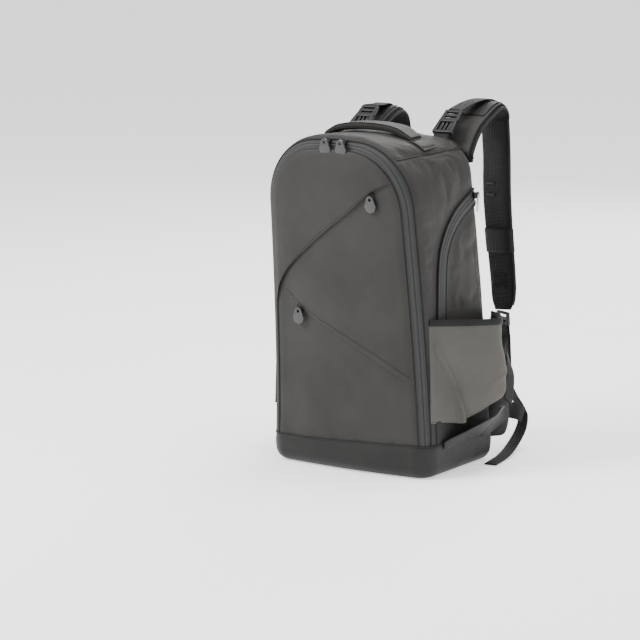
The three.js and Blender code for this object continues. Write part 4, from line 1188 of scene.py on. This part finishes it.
# The shoulder straps: foam in black air mesh, faced with the bag's own fabric outside and bound in black.
STRAP_OUT, STRAP_SPLAY, STRAP_WIDTH, STRAP_THICK = 84.0, 20.0, 64.0, 12.0
STRAP_END, STRAP_ROOT, STRAP_END_REACH = 210.0, 460.0, 122.0
KEEPER_LOW, KEEPER_HIGH, SHOULDER_PATCH_LENGTH, LADDER_LENGTH = 298.0, 334.0, 52.0, 20.0
LIFTER_OUT, LIFTER_RISE, BUCKLE_LENGTH = 74.0, 31.0, 26.0
STRAP_OVER = ((0.22, 0.5, 0.0, 0.0), (0.5, 0.78, 0.02, 0.0), (0.8, 0.96, 0.05, 0.3), (0.94, 0.86, 0.08, 0.6))
STRAP_DOWN = (
    (1.02, 0.07, 0.1, 0.9, 1.0),
    (1.07, 0.24, 0.14, 1.0, 1.0),
    (1.07, 0.42, 0.2, 1.0, 1.0),
    (1.07, 0.62, 0.42, 1.0, 0.97),
    (1.07, 0.86, 0.8, 1.0, 0.9),
    (1.05, 0.95, 0.92, 1.0, 0.8),
    (1.03, 1.0, 0.97, 1.0, 0.52),
)
SIDES = ((1.0, "right", 122.0, 524.0), (-1.0, "left", 92.0, 511.0))
BACK_Y = BAG_DEPTH / 2 - LEAN


def strap_stops(side, reach, bend):
    far = BACK_Y + reach
    root_y = BAG_DEPTH / 2 + lean(STRAP_ROOT) + 0.3 + STRAP_THICK / 2

    def stop(y, z, splay, turn, wide):
        middle = Vector((side * (STRAP_OUT + STRAP_SPLAY * splay), y, z))
        return middle, turned(side, turn), STRAP_WIDTH * wide, STRAP_THICK

    low = STRAP_ROOT - STRAP_THICK
    stops = [
        stop(BAG_DEPTH / 2 + lean(low) + 0.3 + STRAP_THICK / 2, low, 0.0, 0.0, 1.0),
        stop(root_y, STRAP_ROOT, 0.0, 0.0, 1.0),
    ]
    for back, up, splay, turn in STRAP_OVER:
        stops.append(stop(between(root_y, far, back), between(STRAP_ROOT, bend, up), splay, turn, 1.0))
    for back, down, splay, turn, wide in STRAP_DOWN:
        reach_there = between(far, BACK_Y + STRAP_END_REACH, down)
        y, z = between(root_y, reach_there, back), between(bend, STRAP_END, down)
        stops.append(stop(y, z, splay, turn, wide))
    return stops


def strap_share(rows, z):
    """How far along a strap its hanging part passes a height."""
    return crossing(0.35, 1.0, lambda t: smooth_line(rows, t)[2] - z)


def strap_cover(name, rows, shares, half, gap, finish, stands_for=(), out=-1.0):
    """A layer sewn on one face of a strap."""
    start, end = shares

    def place(s, t):
        w = between(-half, half, s)
        return band_point(rows, between(start, end, t), w, out * (1.0 - 0.28 * abs(w) ** 4), gap)

    piece = mesh_piece(cloth_sheet(24, 150, place, 0.06, 0.4), name, finish, stands_for)
    thicken(piece, 1.0, 0.0)
    return piece


for side, name, reach, bend in SIDES:
    stops = strap_stops(side, reach, bend)
    rows, _ = band_rows(stops)
    bm = band_mesh(stops, padded_section, 40, 200)
    swell_out(bm, lambda p: waves(p, 34.0, 3.0) * 0.9 + waves(p, 90.0, 6.0) * 0.8)
    strap = mesh_piece(bm, "strap_" + name, air_mesh, ["shoulder_strap_" + name])
    strap_cover("strap_face_" + name, rows, (0.02, 0.985), 0.9, 0.5, main_fabric)
    for edge, which in ((1.0, "outer"), (-1.0, "inner")):
        line = [band_point(rows, i / 200, edge * 1.01, 0.0) for i in range(2, 200)]
        cord_along(f"strap_binding_{name}_{which}", line, 2.1, piping_black)
    top, low = strap_share(rows, KEEPER_HIGH), strap_share(rows, KEEPER_LOW)
    bm = band_mesh(stops, padded_section, 40, 12, top, low, 2.2)
    mesh_piece(bm, "keeper_" + name, webbing, ["strap_keeper_" + name])
    for i, z in enumerate((403.0, 386.0)):
        share = strap_share(rows, z)
        line = [band_point(rows, share, w / 20, 1.0, 0.5) for w in range(-9, 4)]
        cord_along(f"strap_bar_{name}_{i}", line, 1.9, piping_black)
    low_share, high_share = strap_share(rows, 243.0), strap_share(rows, 265.0)
    corners = [(low_share, -0.5), (high_share, -0.5), (high_share, 0.5), (low_share, 0.5), (low_share, -0.5)]
    corners += [(high_share, 0.5), (high_share, -0.5), (low_share, 0.5)]
    line = [band_point(rows, share, w, 1.0, 0.3) for share, w in corners]
    stitches("strap_box_" + name, line, thread, 2.4, 3.4, 0.8)
    patch_end = BACK_Y + reach - STRAP_THICK
    end = crossing(0.0, 0.6, lambda t: patch_end - smooth_line(rows, t)[1])
    start = crossing(0.0, 0.6, lambda t: patch_end - SHOULDER_PATCH_LENGTH - smooth_line(rows, t)[1])
    node = "shoulder_patch_" + name
    strap_cover("patch_" + name, rows, (start, end), 0.72, 2.2, boot_fabric, [node])
    last = stops[-1][0]
    lock_foot = Vector((last.x, last.y, STRAP_END - STRAP_THICK / 5 - LADDER_LENGTH))

    # The webbing from the fin up to the adjuster, and the loose end that falls to the floor.
    tip = Vector((side * (FIN_TIP_X + FIN_THICK + 0.3), FIN_TIP_Y, FIN_TIP_Z))
    end_point = lock_foot + Vector((0.0, 0.0, -0.6))
    bend_point = end_point + Vector((0.0, 0.0, -NARROW))
    lower = []
    for along, out, turn in ((0, 0, 3.6), (0.22, 0.25, 3.6), (0.45, 0.4, 3.4), (0.72, 0.3, 2.4), (1, 0, 1)):
        middle = tip.lerp(bend_point, along) + Vector((side * out * NARROW, 0.0, 0.0))
        lower.append((middle, turned(side, turn), NARROW, WEB_THICK))
    lower.append((end_point, turned(side, 1.0), NARROW, WEB_THICK))
    bm = band_mesh(lower, flat_section, 24, 120)
    mesh_piece(bm, "lower_strap_" + name, webbing, ["lower_webbing_" + name])
    tail_top = lock_foot + Vector((0.0, 4.5, 10.0))
    tail_end = Vector((side * 162.0, 45.0, 2.0))
    tail = []
    for out, forward, down, turn in (
        (0, 0, 0, 1),
        (0.06, 0, 0.16, 1),
        (0.12, 0.02, 0.34, 1),
        (0.16, 0.01, 0.52, 1),
        (0.28, -0.02, 0.62, 1),
        (0.44, -0.03, 0.7, 0.8),
        (0.55, -0.02, 0.77, 0.7),
        (0.62, 0.08, 0.86, 0.5),
        (0.73, 0.35, 0.95, 0.2),
        (0.86, 0.63, 0.99, 0),
        (1, 1, 1, 0),
    ):
        middle = Vector(
            (
                between(tail_top.x, tail_end.x, out),
                between(tail_top.y, tail_end.y, forward),
                between(tail_top.z, tail_end.z, down),
            )
        )
        tail.append((middle, turned(side, turn), NARROW, WEB_THICK))
    bm = band_mesh(tail, flat_section, 24, 160)
    mesh_piece(bm, "loose_end_" + name, webbing, ["webbing_tail_" + name])

    # The load lifter: a tab sewn to the top back edge, and a strap from its frame to the shoulder.
    tab_z = top_height(LIFTER_OUT, 1.0)
    tab = Vector((side * LIFTER_OUT, BAG_DEPTH / 2 + lean(tab_z) - BACK_RADIUS / 2, tab_z))
    slope = Vector((0.0, BUCKLE_LENGTH + LADDER_LENGTH, BAG_HEIGHT + LIFTER_RISE - tab_z)).normalized()
    across = Vector((1.0, 0.0, 0.0))
    anchor = [(tab + slope * length, across, WEBBING, WEB_THICK) for length in (-4.0, 0.0, 6.25)]
    bm = band_mesh(anchor, flat_section, 24, 16)
    mesh_piece(bm, "lifter_tab_" + name, webbing, ["lifter_anchor_" + name])
    frame_top = tab + slope * (WEBBING / 4 + BUCKLE_LENGTH + LADDER_LENGTH + WEB_THICK + 0.6)
    lifter = []
    for along, back, lift in ((0, 0, 0), (0.4, 0.4, 0.72), (0.75, 0.75, 0.72), (1, 0.96, 0.32)):
        middle = Vector(
            (
                side * between(LIFTER_OUT, STRAP_OUT, along),
                between(frame_top.y, BACK_Y + reach, back),
                between(frame_top.z, bend + lift * STRAP_THICK, min(1.0, 2.0 * along)),
            )
        )
        lifter.append((middle, across, WEBBING, WEB_THICK))
    bm = band_mesh(lifter, flat_section, 24, 60)
    mesh_piece(bm, "lifter_strap_" + name, webbing, ["lifter_webbing_" + name])

# The hip wings: padded ends of the belt that wrap the back edge, with webbing folded back at each tip.
WING_ROWS = (
    (0, 0, 0.8),
    (0.1, 0, 0.95),
    (0.5, 0.06, 1),
    (0.82, 0.35, 1),
    (1, 0.75, 0.98),
    (0.99, 0.95, 0.82),
)
WING_START, WING_END, WING_BACK = 92.6, 133.0, 38.0
WING_Y, WING_Z, WING_HIGH, WING_THICK = 102.3, 81.0, 106.0, 12.0
FOLD_ROWS = ((0, 0, 0, 0), (0.1, 0.4, 0.05, 0), (0.4, 0.8, 0.2, 20), (0.5, 1.2, 0.45, 40))
for side, name in ((1.0, "right"), (-1.0, "left")):
    wing = []
    for out, back, high in WING_ROWS:
        middle = Vector((side * between(WING_START, WING_END, out), WING_Y + back * WING_BACK, WING_Z))
        wing.append((middle, Vector((0.0, 0.0, 1.0)), WING_HIGH * high, WING_THICK))
    bm = band_mesh(wing, padded_section, 60, 60)
    swell_out(bm, lambda p: waves(p, 40.0, 14.0) * 1.2 * ease(p.y, 98.0, 112.0))
    piece = mesh_piece(bm, "wing_" + name, boot_fabric, ["hip_wing_" + name])
    end = wing[-1][0]
    fold = []
    for out, back, down, turn in FOLD_ROWS:
        middle = end + Vector((side * out, back, 0.0)) * WEBBING + Vector((0.0, 2.0, -17.0 - down * WEBBING))
        across = Vector((0.0, math.sin(math.radians(turn)), math.cos(math.radians(turn))))
        fold.append((middle, across, WEBBING, WEB_THICK))
    bm = band_mesh(fold, flat_section, 24, 50)
    mesh_piece(bm, "belt_webbing_" + name, webbing, ["hip_webbing_" + name])

# The top handle: a padded grip in coarse knit, sewn down flat under a square patch at each end.
HANDLE_SHARE, HANDLE_SPAN, HANDLE_WIDTH, HANDLE_THICK = 0.58, 150.0, 38.0, 10.0
HANDLE_ROWS = ((1, 0, 0.34, 0.9), (0.9, 0.1, 0.6, 0.95), (0.66, 0.7, 0.95, 1), (0.32, 0.95, 1, 1))


def on_top(x, lift):
    z = top_height(x, HANDLE_SHARE)
    return Vector((x, (HANDLE_SHARE - 0.5) * BAG_DEPTH + lean(z), z + lift))


across = Vector((0.0, 1.0, 0.0))
handle = []
half_rows = [(-a, b, c, d) for a, b, c, d in HANDLE_ROWS] + [(0, 1, 1, 1)] + list(HANDLE_ROWS[::-1])
for out, up, thick, wide in half_rows:
    middle = on_top(out * HANDLE_SPAN / 2, up * 6.3 + thick * HANDLE_THICK / 2 + 0.3)
    handle.append((middle, across, HANDLE_WIDTH * wide, HANDLE_THICK * thick))
grip = spacer_mesh("coarse_knit", (0.004, 0.0038, 0.0036), (0.034, 0.0315, 0.029), 4.6)
bm = band_mesh(handle, padded_section, 40, 140)
grip_piece = mesh_piece(bm, "handle_grip", grip, ["top_handle"])
rows, _ = band_rows(handle)


def handle_face_place(s, t):
    return band_point(rows, between(0.01, 0.99, t), between(-0.8, 0.8, s), 1.0, 0.3)


bm = cloth_sheet(20, 140, handle_face_place, 0.03, 0.15)
face = mesh_piece(bm, "handle_face", main_fabric)
thicken(face, 1.0, 0.0)
for side, name in ((1.0, "right"), (-1.0, "left")):
    patch = [
        (on_top(side * (75.6 + share * 24.0), 1.3), across, HANDLE_WIDTH, WEB_THICK)
        for share in (0.0, 0.5, 1.0)
    ]
    bm = band_mesh(patch, flat_section, 28, 24)
    mesh_piece(bm, "handle_end_" + name, main_fabric, ["handle_patch_" + name])
    corners = [(79, -15), (79, 15), (96, 15), (96, -15), (79, -15), (96, 15), (96, -15), (79, 15)]
    line = [on_top(side * x, 2.6) + Vector((0.0, y, 0.0)) for x, y in corners]
    stitches("handle_box_" + name, line, thread, 2.4, 3.4)

# The back pad: a padded board down the middle of the back in air mesh, with two air channels across it.
pad = []
for i in range(9):
    z = between(56.0, BAG_HEIGHT - 58.0, i / 8)
    pad.append((Vector((0.0, BAG_DEPTH / 2 + lean(z) + 7.3, z)), Vector((1.0, 0.0, 0.0)), 184.0, 14.0))
bm = band_mesh(pad, padded_section, 100, 120)


def channels(p):
    across_pad = hump(p.z, 180.0, 9.0) + hump(p.z, 310.0, 9.0)
    spine = hump(p.x, 0.0, 11.0)
    outer = ease(p.y - lean(p.z), 103.0, 108.0)
    return -(limit(across_pad + spine) * 5.0) * outer + waves(p, 60.0, 20.0) * 0.8 * outer


swell_out(bm, channels)
back = mesh_piece(bm, "back_cushion", air_mesh, ["back_pad"])

# The compression strap across the left side.
side_z = SIDE_STRAP_Z
side_x = half_width(side_z) + 1.3
strap = []
for share in (-0.5, -0.25, 0.0, 0.25, 0.5):
    middle = Vector((-side_x, lean(side_z) + share * SIDE_STRAP_LENGTH, side_z))
    strap.append((middle, Vector((0.0, 0.0, 1.0)), WEBBING, WEB_THICK))
bm = band_mesh(strap, flat_section, 24, 60)
mesh_piece(bm, "side_compression_strap", webbing, ["left_side_strap"])


# The hardware: moulded buckles, frames, sliders and pulls. Each is the frame's own part with its
# edges rounded. The clip's three prongs show inside each lifter buckle.
def moulded(node, name, finish, radius):
    bm = bmesh.new()
    bm.from_mesh(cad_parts[node].data)
    bmesh.ops.remove_doubles(bm, verts=bm.verts, dist=0.00001)
    bmesh.ops.dissolve_limit(bm, angle_limit=0.03, verts=bm.verts, edges=bm.edges)
    sharp = [e for e in bm.edges if len(e.link_faces) == 2 and e.calc_face_angle() > 0.6]
    bmesh.ops.bevel(
        bm,
        geom=sharp,
        offset=radius * MM,
        affect="EDGES",
        segments=3,
        profile=0.5,
        material=-1,
        clamp_overlap=True,
    )
    return mesh_piece(bm, name, finish, [node])


def hard_finish(name, low, high, rough, metallic=0.0, grain=0.00012):
    finish = Finish(name, {"Metallic": metallic, "Specular IOR Level": 0.5})
    soft = finish.noise(finish.where(), 40.0, 3.0)
    fine = finish.noise(finish.where(), 1500.0, 2.0)
    finish.colour(finish.tint(soft, low, high))
    finish.rough(soft * 0.14 + (rough - 0.07))
    finish.relief(fine, grain, 0.4)
    return finish


black_plastic = hard_finish("black_acetal", (0.003, 0.003, 0.0032), (0.0055, 0.0055, 0.0058), 0.4)
painted_metal = hard_finish("black_painted_metal", (0.006, 0.006, 0.0064), (0.011, 0.011, 0.0115), 0.35, 0.5)
pull_rubber = hard_finish("grey_rubber", (0.022, 0.022, 0.0225), (0.031, 0.031, 0.032), 0.46)
steel = hard_finish("bright_steel", (0.62, 0.62, 0.63), (0.72, 0.72, 0.73), 0.22, 1.0, 0.00005)
for node in ("main_zip_slider_left", "main_zip_slider_right", "upper_pocket_slider", "lower_pocket_slider"):
    moulded(node, "runner_" + node, painted_metal, 0.9)
for node in ("main_zip_pull_left", "main_zip_pull_right", "upper_pocket_pull", "lower_pocket_pull"):
    moulded(node, "tag_" + node, pull_rubber, 0.7)
moulded("side_zip_slider", "runner_side", painted_metal, 0.9)
moulded("side_zip_pull", "tag_side", steel, 0.3)
moulded("left_side_buckle", "side_clasp", black_plastic, 1.8)
for name in ("right", "left"):
    moulded("lifter_buckle_" + name, "lifter_clasp_" + name, black_plastic, 0.9)
    low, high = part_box("lifter_buckle_" + name)
    prongs = bmesh.new()
    climb = BAG_HEIGHT + LIFTER_RISE - top_height(LIFTER_OUT, 1.0)
    slope = Vector((0.0, BUCKLE_LENGTH + LADDER_LENGTH, climb)).normalized()
    turn = slope.to_track_quat("Z", "X").to_matrix().to_4x4()
    for offset, wide in ((-7.0, 5.0), (0.0, 4.0), (7.0, 5.0)):
        middle = (low + high) / 2 + Vector((offset * MM, 0.0, 0.0))
        size = Matrix.Diagonal((0.0045, wide * MM, 0.019, 1.0))
        bmesh.ops.create_cube(prongs, size=1.0, matrix=Matrix.Translation(middle) @ turn @ size)
    bmesh.ops.bevel(
        prongs, geom=prongs.edges[:], offset=0.0009, affect="EDGES", segments=3, profile=0.5, material=-1
    )
    mesh_piece(prongs, "lifter_prongs_" + name, black_plastic)
    moulded("lifter_ladder_" + name, "lifter_frame_" + name, black_plastic, 0.7)
    moulded("strap_ladder_lock_" + name, "adjuster_" + name, black_plastic, 0.7)
